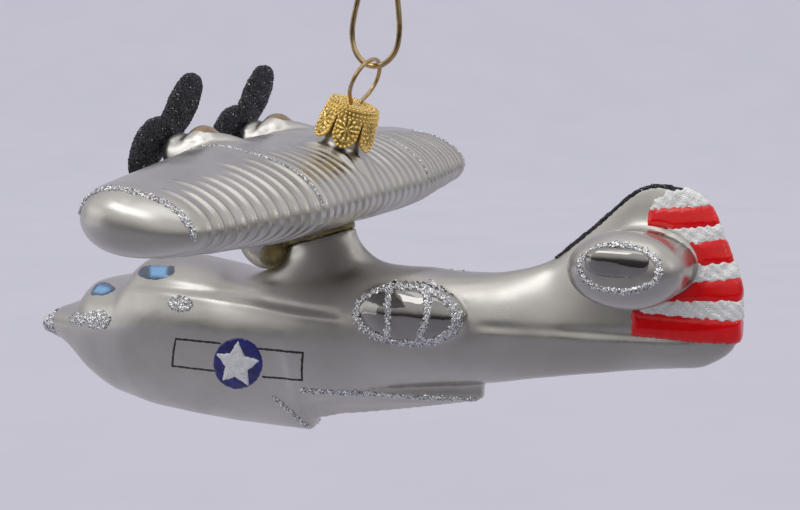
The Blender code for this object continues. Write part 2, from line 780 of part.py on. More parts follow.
def build_loop(centre, parts, parent, material):
    """Wire loop across the cap, with two legs that spring out inside the neck."""
    half = LEG_SPACING / 2
    open_angle = math.asin(half / LOOP_HALF_WIDTH)
    arc = []
    for i in range(LOOP_TURNS + 1):
        turn = open_angle + (2 * math.pi - 2 * open_angle) * i / LOOP_TURNS
        height = LOOP_CENTRE - LOOP_HALF_HEIGHT * math.cos(turn)
        arc.append((LOOP_HALF_WIDTH * math.sin(turn), height))
    side = [*LEG_ROUTE, (half, CAP_HEIGHT)]
    outline = side + arc + [(-y, height) for y, height in reversed(side)]
    points = [loop_point(y, height) for y, height in outline]
    loop = wire("cap_loop", points, LOOP_WIRE, parts, material)
    hang_on(loop, centre + CAP_RIM, parent)
    loop.rotation_euler = (0.0, NECK_LEAN, 0.0)
    return loop


def build_hook(centre, parts, material):
    """Wire hook: an eye that holds the loop and an open crook for the branch."""
    crook = []
    for degrees in HOOK_CROOK_DEGREES:
        turn = math.radians(degrees)
        offset = HOOK_CROOK_OFFSET + HOOK_CROOK_RADIUS * math.cos(turn)
        height = HOOK_CROOK_HEIGHT + HOOK_CROOK_RADIUS * math.sin(turn)
        crook.append(Vector((offset, 0.0, height)))
    below = [Vector((x, 0.0, z)) * MM for x, z in HOOK_ROUTE]
    points = smooth_route(crook + below, HOOK_SAMPLES)
    hook = wire("hanging_hook", points, HOOK_WIRE, parts, material)
    hook.location = centre + hook_eye()
    return hook


def main() -> None:
    """Build the ornament."""
    clear_scene()
    parts = new_collection("flying_boat_ornament")
    tools = new_collection("cutters")
    silver = make_material("satin_silver_glass", (0.42, 0.40, 0.38), 0.35, 0.9)
    black = make_material("black_glitter", (0.012, 0.012, 0.016), 0.6, 0.0)
    gold = make_material("gold_cap", (0.80, 0.53, 0.16), 0.3, 1.0)
    brass = make_material("gold_wire", (0.45, 0.28, 0.08), 0.3, 1.0)
    amber = make_material("amber_glue", (0.32, 0.22, 0.06), 0.3, 0.0)

    centre = -hang_point()
    build_hook(centre, parts, brass)
    swing = add_empty("swing_axis", centre + hook_eye(), None, parts)
    build_cap(centre, parts, tools, swing, gold)
    build_loop(centre, parts, swing, brass)
    pull = add_empty("pull_axis", centre + CAP_RIM, swing, parts)
    build_wing(centre, parts, tools, pull, silver)
    build_hull(centre, parts, tools, pull, silver)
    build_glue(centre, parts, pull, amber)
    for label, side in (("port", -1), ("starboard", 1)):
        build_propeller(label, side, centre, parts, pull, black)


if __name__ == "__main__":
    main()
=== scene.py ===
"""Finished look of a blown-glass tree ornament shaped as a twin-engined flying boat.

Sizes and tables are in millimetres from the wing centre, X aft, Y to starboard and Z up.
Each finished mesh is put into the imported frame, in metres, when its object is made.
"""

import logging
import math
from dataclasses import dataclass
from enum import Enum

import bmesh
import bpy
import numpy as np
from mathutils import Matrix, Vector


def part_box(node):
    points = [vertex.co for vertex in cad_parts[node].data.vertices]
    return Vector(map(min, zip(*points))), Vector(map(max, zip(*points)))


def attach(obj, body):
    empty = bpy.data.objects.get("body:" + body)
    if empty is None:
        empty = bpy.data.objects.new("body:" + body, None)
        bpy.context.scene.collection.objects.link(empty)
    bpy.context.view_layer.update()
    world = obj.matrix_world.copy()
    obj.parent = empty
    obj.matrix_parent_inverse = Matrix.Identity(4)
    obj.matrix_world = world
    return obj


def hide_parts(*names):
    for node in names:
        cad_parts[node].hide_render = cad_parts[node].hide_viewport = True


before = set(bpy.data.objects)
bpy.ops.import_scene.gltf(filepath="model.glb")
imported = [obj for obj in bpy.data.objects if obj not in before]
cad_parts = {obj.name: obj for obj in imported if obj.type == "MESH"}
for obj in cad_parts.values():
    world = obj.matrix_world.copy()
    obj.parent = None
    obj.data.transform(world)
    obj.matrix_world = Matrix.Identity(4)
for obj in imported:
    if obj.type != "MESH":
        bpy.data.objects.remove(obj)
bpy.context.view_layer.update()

log = logging.getLogger("ornament")

MM = 0.001
# how far the nose lies ahead of the wing centre, and the fin's top above it
NOSE_REACH, FIN_REACH = 61.6, 3.8
HULL_LOW, HULL_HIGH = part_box("hull_glass")
CENTRE = Vector((HULL_LOW.x + NOSE_REACH * MM, 0.0, HULL_HIGH.z - FIN_REACH * MM))

Array = np.ndarray
Object = bpy.types.Object
Mesh = bpy.types.Mesh
Material = bpy.types.Material
Point = tuple[float, float]
Triple = tuple[float, float, float]
Colour = Triple


class Body(Enum):
    """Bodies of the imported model."""

    HOOK = "hook"
    CAP = "cap"
    GLASS = "glass"


class View(Enum):
    """Plane that a region is drawn on, as the two axes that it keeps."""

    SIDE = (0, 2)
    PLAN = (0, 1)


class Side(Enum):
    """Side of the ornament, as the sign of Y."""

    PORT = -1.0
    STARBOARD = 1.0


BOTH_SIDES = (Side.PORT, Side.STARBOARD)


# Numbers and curves


def read(table: Array, at: Array) -> Array:
    """Read a table with a smooth curve that never overshoots its rows.

    Args:
        table: Rows of a place, which rises from row to row, and its values.
        at: Places to read.

    Returns:
        One row of values for each place read.
    """
    knots, values = table[:, 0], table[:, 1:]
    step = np.diff(knots)[:, None]
    slope = np.diff(values, axis=0) / step
    before, after = slope[:-1], slope[1:]
    weight_a, weight_b = 2 * step[1:] + step[:-1], step[1:] + 2 * step[:-1]
    rising = before * after > 0
    safe_a = np.where(rising, before, 1.0)
    safe_b = np.where(rising, after, 1.0)
    tangent = np.zeros_like(values, dtype=float)
    blend = (weight_a + weight_b) / (weight_a / safe_a + weight_b / safe_b)
    tangent[1:-1] = np.where(rising, blend, 0.0)
    tangent[0], tangent[-1] = slope[0], slope[-1]
    span = np.clip(np.searchsorted(knots, at, side="right") - 1, 0, len(step) - 1)
    width = step[span]
    t = (np.asarray(at) - knots[span])[:, None] / width
    return (
        values[span] * (1 + 2 * t) * (1 - t) ** 2
        + width * tangent[span] * t * (1 - t) ** 2
        + values[span + 1] * t**2 * (3 - 2 * t)
        + width * tangent[span + 1] * t**2 * (t - 1)
    )


def smooth_step(low: float, high: float, value: Array) -> Array:
    """Rise from 0 at low to 1 at high with level ends, read at each value."""
    share = np.clip((value - low) / (high - low), 0.0, 1.0)
    return share * share * (3 - 2 * share)


def ripple(points: Array, size: float, seed: float) -> Array:
    """Smooth unevenness, the same on every run.

    Args:
        points: Places in two or three dimensions.
        size: Length of a typical wave.
        seed: Number that picks one pattern.

    Returns:
        Values from about -1 to 1.
    """
    wave = np.zeros(len(points))
    for k in range(5):
        angle = seed * 1.7 + k * 2.399
        lean = math.sin(seed * 3.1 + k * 1.3)
        heading = np.array([math.cos(angle), math.sin(angle), lean])[: points.shape[1]]
        pace = 2 * math.pi / (size * (0.7 + 0.23 * k))
        wave += np.sin(points @ heading * pace + seed * (k + 1.0) * 5.3)
    return wave / 3.2


def thread(route: Array, samples: int, closed: bool = False) -> Array:
    """Evenly numbered points on a smooth curve through a route.

    Args:
        route: Places that the curve passes.
        samples: Number of spans in the result.
        closed: Whether the curve comes back to its start.

    Returns:
        The points of the curve.
    """
    if closed:
        padded = np.vstack([route[-1:], route, route[:2]])
        spans = len(route)
    else:
        padded = np.vstack([2 * route[0] - route[1], route, 2 * route[-1] - route[-2]])
        spans = len(route) - 1
    place = np.linspace(0.0, spans, samples + 1)
    span = np.minimum(place.astype(int), spans - 1)
    t = (place - span)[:, None]
    p0, p1, p2, p3 = (padded[span + k] for k in range(4))
    bend = (2 * p0 - 5 * p1 + 4 * p2 - p3) * t**2 + (3 * p1 - p0 - 3 * p2 + p3) * t**3
    return 0.5 * (2 * p1 + (p2 - p0) * t + bend)


def oval(count: int, half_a: Array, half_b: Array, power: float = 2.0) -> Array:
    """Rounded rings, one for each pair of half-axes.

    Args:
        count: Points on a ring.
        half_a: Half-axis along the first direction, for each ring.
        half_b: Half-axis along the second direction, for each ring.
        power: 2 for an ellipse, more for a squarer ring.

    Returns:
        Points as rings by count by 2.
    """
    turn = np.arange(count) * 2 * math.pi / count
    a = np.sign(np.cos(turn)) * np.abs(np.cos(turn)) ** (2 / power)
    b = np.sign(np.sin(turn)) * np.abs(np.sin(turn)) ** (2 / power)
    first = np.atleast_1d(half_a)[:, None] * a
    second = np.atleast_1d(half_b)[:, None] * b
    return np.stack([first, second], axis=-1)


# Meshes and objects


def linked(name: str, data: bpy.types.ID) -> Object:
    """Put an object with its data into the scene.

    Args:
        name: Name of the object.
        data: Its mesh, camera or light.

    Returns:
        The object.
    """
    obj = bpy.data.objects.new(name, data)
    bpy.context.scene.collection.objects.link(obj)
    return obj


def drop(obj: Object) -> None:
    """Remove an object and its mesh.

    Args:
        obj: Mesh object.
    """
    mesh = obj.data
    bpy.data.objects.remove(obj)
    bpy.data.meshes.remove(mesh)


def applied(obj: Object, modifier: bpy.types.Modifier) -> Mesh:
    """Take the mesh that a modifier makes and remove the modifier.

    Args:
        obj: Object that has the modifier, which keeps its own mesh.
        modifier: The modifier.

    Returns:
        The new mesh.
    """
    graph = bpy.context.evaluated_depsgraph_get()
    mesh = bpy.data.meshes.new_from_object(obj.evaluated_get(graph), depsgraph=graph)
    obj.modifiers.remove(modifier)
    return mesh


def exchange(obj: Object, mesh: Mesh) -> None:
    """Give an object another mesh and remove its old one.

    Args:
        obj: Mesh object.
        mesh: Its new mesh.
    """
    old = obj.data
    obj.data = mesh
    bpy.data.meshes.remove(old)


def places(mesh: Mesh) -> Array:
    """Places of a mesh's points, one row each.

    Args:
        mesh: The mesh.

    Returns:
        Places in the mesh's own unit.
    """
    flat = np.zeros(len(mesh.vertices) * 3)
    mesh.vertices.foreach_get("co", flat)
    return flat.reshape(-1, 3)


def ornament_places(mesh: Mesh) -> Array:
    """Places of a finished mesh's points, in millimetres from the wing centre."""
    return (places(mesh) - np.array(CENTRE)) / MM


def write_values(mesh: Mesh, name: str, values: Array) -> None:
    """Store one number for each point of a mesh as an attribute."""
    attribute = mesh.attributes.new(name, "FLOAT", "POINT")
    attribute.data.foreach_set("value", np.asarray(values, np.float32))


def rotation(axis: str, angle: float) -> Array:
    """Matrix that turns places about an axis, in radians."""
    return np.array(Matrix.Rotation(angle, 3, axis))


# Skins


def edges_of(faces: Array) -> tuple[Array, Array]:
    """Edges of faces without repeats.

    Args:
        faces: Corner numbers.

    Returns:
        Both ends of each edge, and the edge's number for each side of the faces.
    """
    count = faces.shape[1]
    pairs = np.vstack([faces[:, [k, (k + 1) % count]] for k in range(count)])
    edges, index = np.unique(np.sort(pairs, axis=1), axis=0, return_inverse=True)
    return edges, index.reshape(count, -1)


@dataclass
class Skin:
    """A surface in millimetres from the wing centre.

    Attributes:
        points: Places, one row each.
        faces: Corner numbers, three or four a row.
    """

    points: Array
    faces: Array

    def triangles(self) -> Array:
        """Corner numbers of the faces as triangles.

        Returns:
            Three numbers a row.
        """
        if self.faces.shape[1] == 3:
            return self.faces
        return np.vstack([self.faces[:, [0, 1, 2]], self.faces[:, [0, 2, 3]]])

    def normals(self) -> Array:
        """Outward direction at each point.

        Returns:
            Unit directions, one row for each point.
        """
        corners = self.points[self.triangles()]
        face = np.cross(corners[:, 1] - corners[:, 0], corners[:, 2] - corners[:, 0])
        total = np.zeros_like(self.points)
        for corner in self.triangles().T:
            for axis in range(3):
                total[:, axis] += np.bincount(corner, face[:, axis], len(self.points))
        return total / np.maximum(np.linalg.norm(total, axis=1), 1e-12)[:, None]

    def relax(self, rounds: int, share: Array | float = 1.0, shrink: bool = True) -> None:
        """Move points towards their neighbours.

        Args:
            rounds: Number of passes.
            share: How far each point follows, from 0 to 1.
            shrink: Whether the volume may shrink, which fills hollow corners.
        """
        pairs, _ = edges_of(self.faces)
        degree = np.maximum(np.bincount(pairs.ravel(), minlength=len(self.points)), 1)
        share = np.broadcast_to(share, len(self.points))
        steps = (0.5,) if shrink else (0.5, -0.52)
        for _ in range(rounds):
            for step in steps:
                for axis in range(3):
                    value = self.points[:, axis]
                    total = np.bincount(pairs[:, 0], value[pairs[:, 1]], len(value))
                    total += np.bincount(pairs[:, 1], value[pairs[:, 0]], len(value))
                    self.points[:, axis] += step * share * (total / degree - value)

    def dent(self, height: float, size: float, seed: float) -> None:
        """Raise and sink the points a little, in waves of a size."""
        self.points += self.normals() * (height * ripple(self.points, size, seed))[:, None]

    def object(self, name: str, material: Material) -> Object:
        """Make an object of the skin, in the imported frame.

        Args:
            name: Name of the piece.
            material: Its finish.

        Returns:
            The linked object, shaded smooth.
        """
        mesh = bpy.data.meshes.new(name)
        place = self.points * MM + np.array(CENTRE)
        mesh.from_pydata(place.tolist(), [], self.faces.tolist())
        mesh.materials.append(material)
        mesh.shade_smooth()
        return linked(name, mesh)


def stand(rings: Array, at: Array, axis: int) -> Array:
    """Set flat rings up at places along an axis, as rings by count by 3."""
    return np.insert(rings, axis, np.broadcast_to(at[:, None], rings.shape[:2]), axis=-1)


def grid_faces(rows: int, columns: int, closed: bool = True) -> Array:
    """Corner numbers of the quads between rows of points.

    Args:
        rows: Number of rows.
        columns: Points in a row.
        closed: Whether each row comes back to its start.

    Returns:
        One row of four for each quad.
    """
    row = np.arange(rows - 1)[:, None] * columns
    near = np.arange(columns if closed else columns - 1)[None, :]
    far = (near + 1) % columns
    corners = [row + near, row + far, row + columns + far, row + columns + near]
    return np.stack(corners, axis=-1).reshape(-1, 4)


def ball(rows: int, count: int, margin: float, axis: int) -> Array:
    """Rings of a ball of radius 1, which leave a margin in radians at its poles."""
    turn = np.linspace(margin, math.pi - margin, rows)
    return stand(oval(count, np.sin(turn), np.sin(turn)), -np.cos(turn), axis)


def loft(rings: Array) -> Skin:
    """Skin closed rings of equal counts and close both ends at their middle.

    Args:
        rings: Points as rings by count by 3.

    Returns:
        The closed skin.
    """
    count = rings.shape[1]
    first = rings[:1].mean(axis=1, keepdims=True).repeat(count, axis=1)
    last = rings[-1:].mean(axis=1, keepdims=True).repeat(count, axis=1)
    full = np.concatenate([first, rings, last])
    return Skin(full.reshape(-1, 3), grid_faces(len(full), count))


def joined(skins: list[Skin]) -> Skin:
    """Put skins together without fusing them, all of triangles or all of quads.

    Args:
        skins: The skins.

    Returns:
        One skin.
    """
    starts = np.cumsum([0] + [len(skin.points) for skin in skins[:-1]])
    faces = np.vstack([skin.faces + start for skin, start in zip(skins, starts)])
    return Skin(np.vstack([skin.points for skin in skins]), faces)


def melt(skins: list[Skin], grain: float) -> Skin:
    """Fuse closed skins into one outer skin, as blown glass is.

    Args:
        skins: Closed skins that run into each other.
        grain: Size of the fused skin's faces.

    Returns:
        The fused skin.
    """
    whole = joined(skins)
    mesh = bpy.data.meshes.new("melt")
    mesh.from_pydata(whole.points.tolist(), [], whole.faces.tolist())
    obj = linked("melt", mesh)
    modifier = obj.modifiers.new("fuse", "REMESH")
    modifier.mode = "VOXEL"
    modifier.voxel_size = grain
    fused = applied(obj, modifier)
    points = places(fused)
    faces = np.zeros(len(fused.loops), np.int32)
    fused.loops.foreach_get("vertex_index", faces)
    drop(obj)
    bpy.data.meshes.remove(fused)
    return Skin(points, faces.reshape(-1, 4))


def weld(obj: Object, gap: float = 0.01) -> None:
    """Merge doubled points and turn all faces outwards.

    Args:
        obj: Mesh object.
        gap: Distance in millimetres under which points merge.
    """
    bm = bmesh.new()
    bm.from_mesh(obj.data)
    bmesh.ops.remove_doubles(bm, verts=bm.verts, dist=gap * MM)
    bmesh.ops.dissolve_degenerate(bm, edges=bm.edges, dist=gap * MM / 10)
    bmesh.ops.recalc_face_normals(bm, faces=bm.faces)
    bm.to_mesh(obj.data)
    bm.free()
    obj.data.shade_smooth()


def add_to(obj: Object, extra: Mesh, flat: bool = False) -> None:
    """Put another mesh into an object, with its own materials.

    Args:
        obj: Mesh object that keeps its name.
        extra: Mesh to add, which is then removed.
        flat: Whether the added faces are shaded flat.
    """
    slots = [len(obj.data.materials) + k for k in range(len(extra.materials))]
    for material in extra.materials:
        obj.data.materials.append(material)
    bm = bmesh.new()
    bm.from_mesh(obj.data)
    start = len(bm.faces)
    bm.from_mesh(extra)
    bm.faces.ensure_lookup_table()
    for face in bm.faces[start:]:
        face.smooth = not flat
        face.material_index = slots[min(face.material_index, len(slots) - 1)]
    bm.to_mesh(obj.data)
    bm.free()
    bpy.data.meshes.remove(extra)


# Regions that paint, glitter and mirror finishes cover


@dataclass(frozen=True)
class Region:
    """An area on one of the views, with an edge that may wander.

    Attributes:
        wobble: How far the edge wanders, in millimetres.
        seed: Number that picks how it wanders.
    """

    wobble: float = 0.0
    seed: float = 1.0

    def inset(self, at: Array) -> Array:
        """Distance inside the edge for each place, negative outside."""
        raise NotImplementedError

    def depth(self, at: Array) -> Array:
        """Distance inside the wandering edge for each place, negative outside."""
        return self.inset(at) + self.wobble * ripple(at, 1.1, self.seed)


@dataclass(frozen=True)
class Oval(Region):
    """An ellipse.

    Attributes:
        centre: Its middle on the view.
        reach: Its two half-axes.
    """

    centre: Point = (0.0, 0.0)
    reach: Point = (1.0, 1.0)

    def inset(self, at: Array) -> Array:
        """Distance inside the ellipse for each place.

        Args:
            at: Places on the view.

        Returns:
            Millimetres inside the edge, negative outside.
        """
        offset = (at - self.centre) / self.reach
        spread = np.maximum(np.linalg.norm(offset, axis=1), 1e-6)
        slope = np.linalg.norm(offset / self.reach, axis=1)
        return (1.0 - spread) * spread / np.maximum(slope, 1e-6)


@dataclass(frozen=True)
class Ring(Oval):
    """A line along an ellipse.

    Attributes:
        width: Width of the line.
    """

    width: float = 1.0

    def inset(self, at: Array) -> Array:
        """Distance inside the line for each place."""
        return self.width / 2 - np.abs(super().inset(at))


@dataclass(frozen=True)
class Stroke(Region):
    """A line along a route.

    Attributes:
        route: Places that the line passes.
        width: Width of the line.
        curved: Whether the route is smoothed.
    """

    route: tuple[Point, ...] = ()
    width: float = 1.0
    curved: bool = True

    def inset(self, at: Array) -> Array:
        """Distance inside the line for each place.

        Args:
            at: Places on the view.

        Returns:
            Millimetres inside the edge, negative outside.
        """
        line = np.array(self.route)
        if self.curved:
            line = thread(line, 8 * (len(line) - 1))
        return self.width / 2 - away_from(line, at)


@dataclass(frozen=True)
class Patch(Region):
    """A filled outline.

    Attributes:
        outline: Its corners in order.
        curved: Whether the outline is smoothed.
        rounding: How far its corners are rounded.
    """

    outline: tuple[Point, ...] = ()
    curved: bool = False
    rounding: float = 0.0

    def inset(self, at: Array) -> Array:
        """Distance inside the outline for each place.

        Args:
            at: Places on the view.

        Returns:
            Millimetres inside the edge, negative outside.
        """
        line = np.array(self.outline)
        if self.curved:
            line = thread(line, 8 * len(line), closed=True)
        else:
            line = np.vstack([line, line[:1]])
        inside = np.zeros(len(at), bool)
        for (x0, y0), (x1, y1) in zip(line, line[1:]):
            crosses = (y0 > at[:, 1]) != (y1 > at[:, 1])
            rise = y1 - y0 if y1 != y0 else 1.0
            inside ^= crosses & (at[:, 0] < (x1 - x0) * (at[:, 1] - y0) / rise + x0)
        away = away_from(line, at)
        return np.where(inside, away, -away) + self.rounding


@dataclass(frozen=True)
class Several(Region):
    """Regions that share one coat.

    Attributes:
        regions: The regions.
    """

    regions: tuple[Region, ...] = ()

    def inset(self, at: Array) -> Array:
        """Distance inside the nearest region for each place."""
        return np.max([region.depth(at) for region in self.regions], axis=0)


def away_from(line: Array, at: Array) -> Array:
    """Distance from each place to a line of straight spans.

    Args:
        line: Ends of the spans.
        at: Places.

    Returns:
        The distances.
    """
    nearest = np.full(len(at), np.inf)
    for start, end in zip(line, line[1:]):
        span = end - start
        length = max(float(span @ span), 1e-12)
        along = np.clip((at - start) @ span / length, 0.0, 1.0)
        gap = np.linalg.norm(at - start - along[:, None] * span, axis=1)
        nearest = np.minimum(nearest, gap)
    return nearest


def star_outline(tips: tuple[Point, ...], waist: float) -> tuple[Point, ...]:
    """Outline of a star through its tips.

    Args:
        tips: The tips in order.
        waist: Radius of the inner corners as a share of the tips' radius.

    Returns:
        Tips and inner corners in turn.
    """
    points = np.array(tips)
    middle = points.mean(axis=0)
    outline = []
    for tip, following in zip(points, np.roll(points, -1, axis=0)):
        outline.append(tuple(tip))
        outline.append(tuple(middle + (tip + following - 2 * middle) * waist))
    return tuple(outline)


@dataclass(frozen=True)
class Less(Region):
    """A region with another one cut out of it.

    Attributes:
        whole: The region.
        hole: What is cut out.
    """

    whole: Region = Region()
    hole: Region = Region()

    def inset(self, at: Array) -> Array:
        """Distance inside what is left for each place."""
        return np.minimum(self.whole.depth(at), -self.hole.depth(at))


@dataclass(frozen=True)
class Coat:
    """A finish laid on part of a glass skin.

    Attributes:
        region: Area that it covers.
        view: Plane that the area is drawn on.
        facing: Direction that the covered glass roughly faces.
        turn_away: How far from that direction the glass may face, as the least cosine.
        half_width: Greatest distance from the centre plane.
        thickness: Height of the coat.
        edge: Width of its rounded edge.
        lumps: Unevenness of its surface, as a share of the thickness.
        splits: How often the glass skin's faces are split.
    """

    region: Region
    view: View = View.SIDE
    facing: Triple = (0.0, 1.0, 0.0)
    turn_away: float = 0.0
    half_width: float = 1000.0
    thickness: float = 0.25
    edge: float = 0.35
    lumps: float = 0.15
    splits: int = 1

    # how deep the coat's edge lies under the glass
    SUNK = 0.015

    def lay(self, glass: Skin, side: Side = Side.STARBOARD) -> Skin:
        """Cut the covered area out of the glass skin and raise it.

        Args:
            glass: Skin that carries the coat.
            side: Side of the ornament, which mirrors the facing direction.

        Returns:
            The coat's skin, of triangles.
        """
        normals = glass.normals()
        toward = np.array(self.facing) * (1.0, side.value, 1.0)
        depth = self.region.depth(glass.points[:, self.view.value])
        usable = (normals @ toward > self.turn_away) & (abs(glass.points[:, 1]) < self.half_width)
        faces = glass.triangles()
        near = (depth[faces].max(axis=1) > -1.0) & usable[faces].all(axis=1)
        rows, faces = compact(np.hstack([glass.points, normals]), faces[near])
        for _ in range(self.splits):
            rows, faces = split(rows, faces)
        rows[:, 3:] /= np.linalg.norm(rows[:, 3:], axis=1)[:, None]
        depth = self.region.depth(rows[:, self.view.value])
        rows, faces = trim(np.column_stack([rows, depth]), faces)
        points, normals, depth = rows[:, :3].copy(), rows[:, 3:6], rows[:, 6]
        rise = np.clip(depth / self.edge, 0.0, 1.0)
        height = self.thickness * np.sqrt(np.clip(1.0 - (1.0 - rise) ** 2, 0.0, 1.0))
        height *= 1.0 + self.lumps * ripple(points, 1.7, self.region.seed)
        return Skin(points + normals * (height - self.SUNK)[:, None], faces)


def compact(rows: Array, faces: Array) -> tuple[Array, Array]:
    """Drop the rows that no face uses."""
    used, index = np.unique(faces, return_inverse=True)
    return rows[used], index.reshape(faces.shape)


def split(rows: Array, faces: Array) -> tuple[Array, Array]:
    """Split each triangle into four.

    Args:
        rows: Place and direction of each point.
        faces: Triangles.

    Returns:
        The same two, finer.
    """
    edges, index = edges_of(faces)
    (a, b, c), (ab, bc, ca) = faces.T, index + len(rows)
    finer = [(a, ab, ca), (ab, b, bc), (ca, bc, c), (ab, bc, ca)]
    finer = np.vstack([np.stack(corners, axis=1) for corners in finer])
    return np.vstack([rows, rows[edges].mean(axis=1)]), finer


def trim(rows: Array, faces: Array) -> tuple[Array, Array]:
    """Cut triangles along the line where the depth is zero.

    Args:
        rows: Place, direction and depth of each point.
        faces: Triangles.

    Returns:
        The same two, with only the part inside.
    """
    depth = rows[:, -1]
    inside = depth > 0
    count = inside[faces].sum(axis=1)
    kept = [faces[count == 3]]
    crossing = faces[(count > 0) & (count < 3)]
    pairs, _ = edges_of(crossing)
    pairs = pairs[inside[pairs[:, 0]] != inside[pairs[:, 1]]]
    share = (depth[pairs[:, 0]] / (depth[pairs[:, 0]] - depth[pairs[:, 1]]))[:, None]
    added = rows[pairs[:, 0]] * (1 - share) + rows[pairs[:, 1]] * share
    added[:, -1] = 0.0
    number = {tuple(pair): len(rows) + k for k, pair in enumerate(pairs.tolist())}
    cut = []
    for face in crossing.tolist():
        outline = []
        for first, second in zip(face, face[1:] + face[:1]):
            if inside[first]:
                outline.append(first)
            if inside[first] != inside[second]:
                outline.append(number[(min(first, second), max(first, second))])
        cut += [(outline[0], outline[k], outline[k + 1]) for k in range(1, len(outline) - 1)]
    if cut:
        kept.append(np.array(cut))
    return compact(np.vstack([rows, added]), np.vstack(kept))


# Node trees and finishes

Socket = bpy.types.NodeSocket
Stops = tuple[tuple[float, Colour], ...]


class Nodes:
    """A node tree while it is being put together."""

    def __init__(self, tree: bpy.types.NodeTree) -> None:
        """Take up a tree that nodes are added to."""
        self.tree = tree

    def feed(self, target: Socket, value: object) -> None:
        """Link an input to a socket, or set it to a plain value.

        Args:
            target: The input.
            value: Socket or value that it takes.
        """
        if isinstance(value, Socket):
            self.tree.links.new(value, target)
        else:
            target.default_value = value

    def node(self, kind: str, feeds: dict | None = None, **settings: object) -> bpy.types.Node:
        """Add a node.

        Args:
            kind: Type of the node.
            feeds: Sockets or values of its inputs, by name or number.
            settings: Its properties by name.

        Returns:
            The node.
        """
        made = self.tree.nodes.new(kind)
        for key, value in settings.items():
            setattr(made, key, value)
        for key, value in (feeds or {}).items():
            self.feed(made.inputs[key], value)
        return made

    def ramp(self, factor: Socket, stops: Stops) -> Socket:
        """Colours between stops.

        Args:
            factor: Value that picks the colour.
            stops: Place and colour of each stop.

        Returns:
            The colour's socket.
        """
        made = self.node("ShaderNodeValToRGB", {"Fac": factor})
        elements = made.color_ramp.elements
        while len(elements) < len(stops):
            elements.new(1.0)
        for element, (place, colour) in zip(elements, stops):
            element.position = place
            element.color = (*colour, 1.0)
        return made.outputs["Color"]


class Surface(Nodes):
    """A Principled material while it is being put together."""

    def __init__(self, name: str) -> None:
        """Start the material.

        Args:
            name: Name of the material.
        """
        self.material = bpy.data.materials.new(name)
        self.material.use_nodes = True
        super().__init__(self.material.node_tree)
        self.shader = self.tree.nodes["Principled BSDF"]
        self.place = self.node("ShaderNodeTexCoord").outputs["Object"]

    def noise(self, size: float, detail: float = 3.0) -> Socket:
        """Noise on Object coordinates, with features of a size in millimetres."""
        feeds = {"Scale": 1.0 / (size * MM), "Detail": detail, "Vector": self.place}
        return self.node("ShaderNodeTexNoise", feeds).outputs["Fac"]

    def grains(self, size: float) -> Socket:
        """One random value for each small cell of a size in millimetres.

        Args:
            size: Size of a cell.

        Returns:
            The value's socket.
        """
        feeds = {"Scale": 1.0 / (size * MM), "Vector": self.place}
        cells = self.node("ShaderNodeTexVoronoi", feeds).outputs["Color"]
        return self.node("ShaderNodeSeparateColor", {"Color": cells}).outputs["Red"]

    def attribute(self, name: str) -> Socket:
        """Value of a mesh attribute."""
        return self.node("ShaderNodeAttribute", attribute_name=name).outputs["Fac"]


@dataclass(frozen=True)
class Finish:
    """Look of a surface.

    Attributes:
        shader: Constant values of the shader, by input.
        pattern: Kind of pattern that picks the colour, and its measures.
        stops: Colours that the pattern picks from.
        gloss: Size of the roughness's marks, and its lowest and highest value.
        relief: Size, detail and height of raised marks, if there are any.
    """

    shader: dict[str, float]
    pattern: tuple
    stops: Stops
    gloss: Triple
    relief: Triple | None = None

    # share of a noise's range that is spread over the roughness
    LOW, HIGH = 0.3, 0.7

    def material(self, name: str) -> Material:
        """Make the material.

        Args:
            name: Name of the material.

        Returns:
            The material.
        """
        made = Surface(name)
        sockets = made.shader.inputs
        for key, value in self.shader.items():
            sockets[key].default_value = value
        kind, *measures = self.pattern
        made.feed(sockets["Base Color"], made.ramp(getattr(made, kind)(*measures), self.stops))
        size, low, high = self.gloss
        feeds = {"From Min": self.LOW, "From Max": self.HIGH, "To Min": low, "To Max": high}
        rough = made.node("ShaderNodeMapRange", {"Value": made.noise(size), **feeds})
        made.feed(sockets["Roughness"], rough.outputs["Result"])
        if self.relief:
            size, detail, height = self.relief
            feeds = {"Distance": height * MM, "Height": made.noise(size, detail)}
            made.feed(sockets["Normal"], made.node("ShaderNodeBump", feeds).outputs["Normal"])
        return made.material


def flakes(stops: Stops, gloss: float = 0.16) -> Finish:
    """Loose metal flakes, each of one colour."""
    return Finish({"Metallic": 1.0}, ("grains", 0.24), stops, (0.3, gloss, gloss + 0.12))


def bed(light: Colour, dark: Colour, metallic: float = 0.5) -> Finish:
    """Glue that holds flakes, rough with the small ones sunk in it.

    Args:
        light: Colour of its grains.
        dark: Colour between them.
        metallic: How metallic it looks.

    Returns:
        The finish.
    """
    stops = ((0.1, dark), (0.9, light))
    return Finish(
        {"Metallic": metallic}, ("grains", 0.16), stops, (0.2, 0.30, 0.55), (0.3, 3.0, 0.16)
    )


def enamel(light: Colour, dark: Colour, gloss: float = 0.13, waves: float = 0.10) -> Finish:
    """Thick hand-laid gloss paint with low brush waves.

    Args:
        light: Colour where it is thin.
        dark: Colour where it is thick.
        gloss: Lowest roughness.
        waves: Height of its brush waves in millimetres.

    Returns:
        The finish.
    """
    shader = {"Coat Weight": 0.5, "Coat Roughness": 0.03, "Specular IOR Level": 0.3}
    stops = ((0.35, dark), (0.65, light))
    return Finish(shader, ("noise", 1.8), stops, (0.9, gloss, gloss + 0.08), (2.2, 1.0, waves))


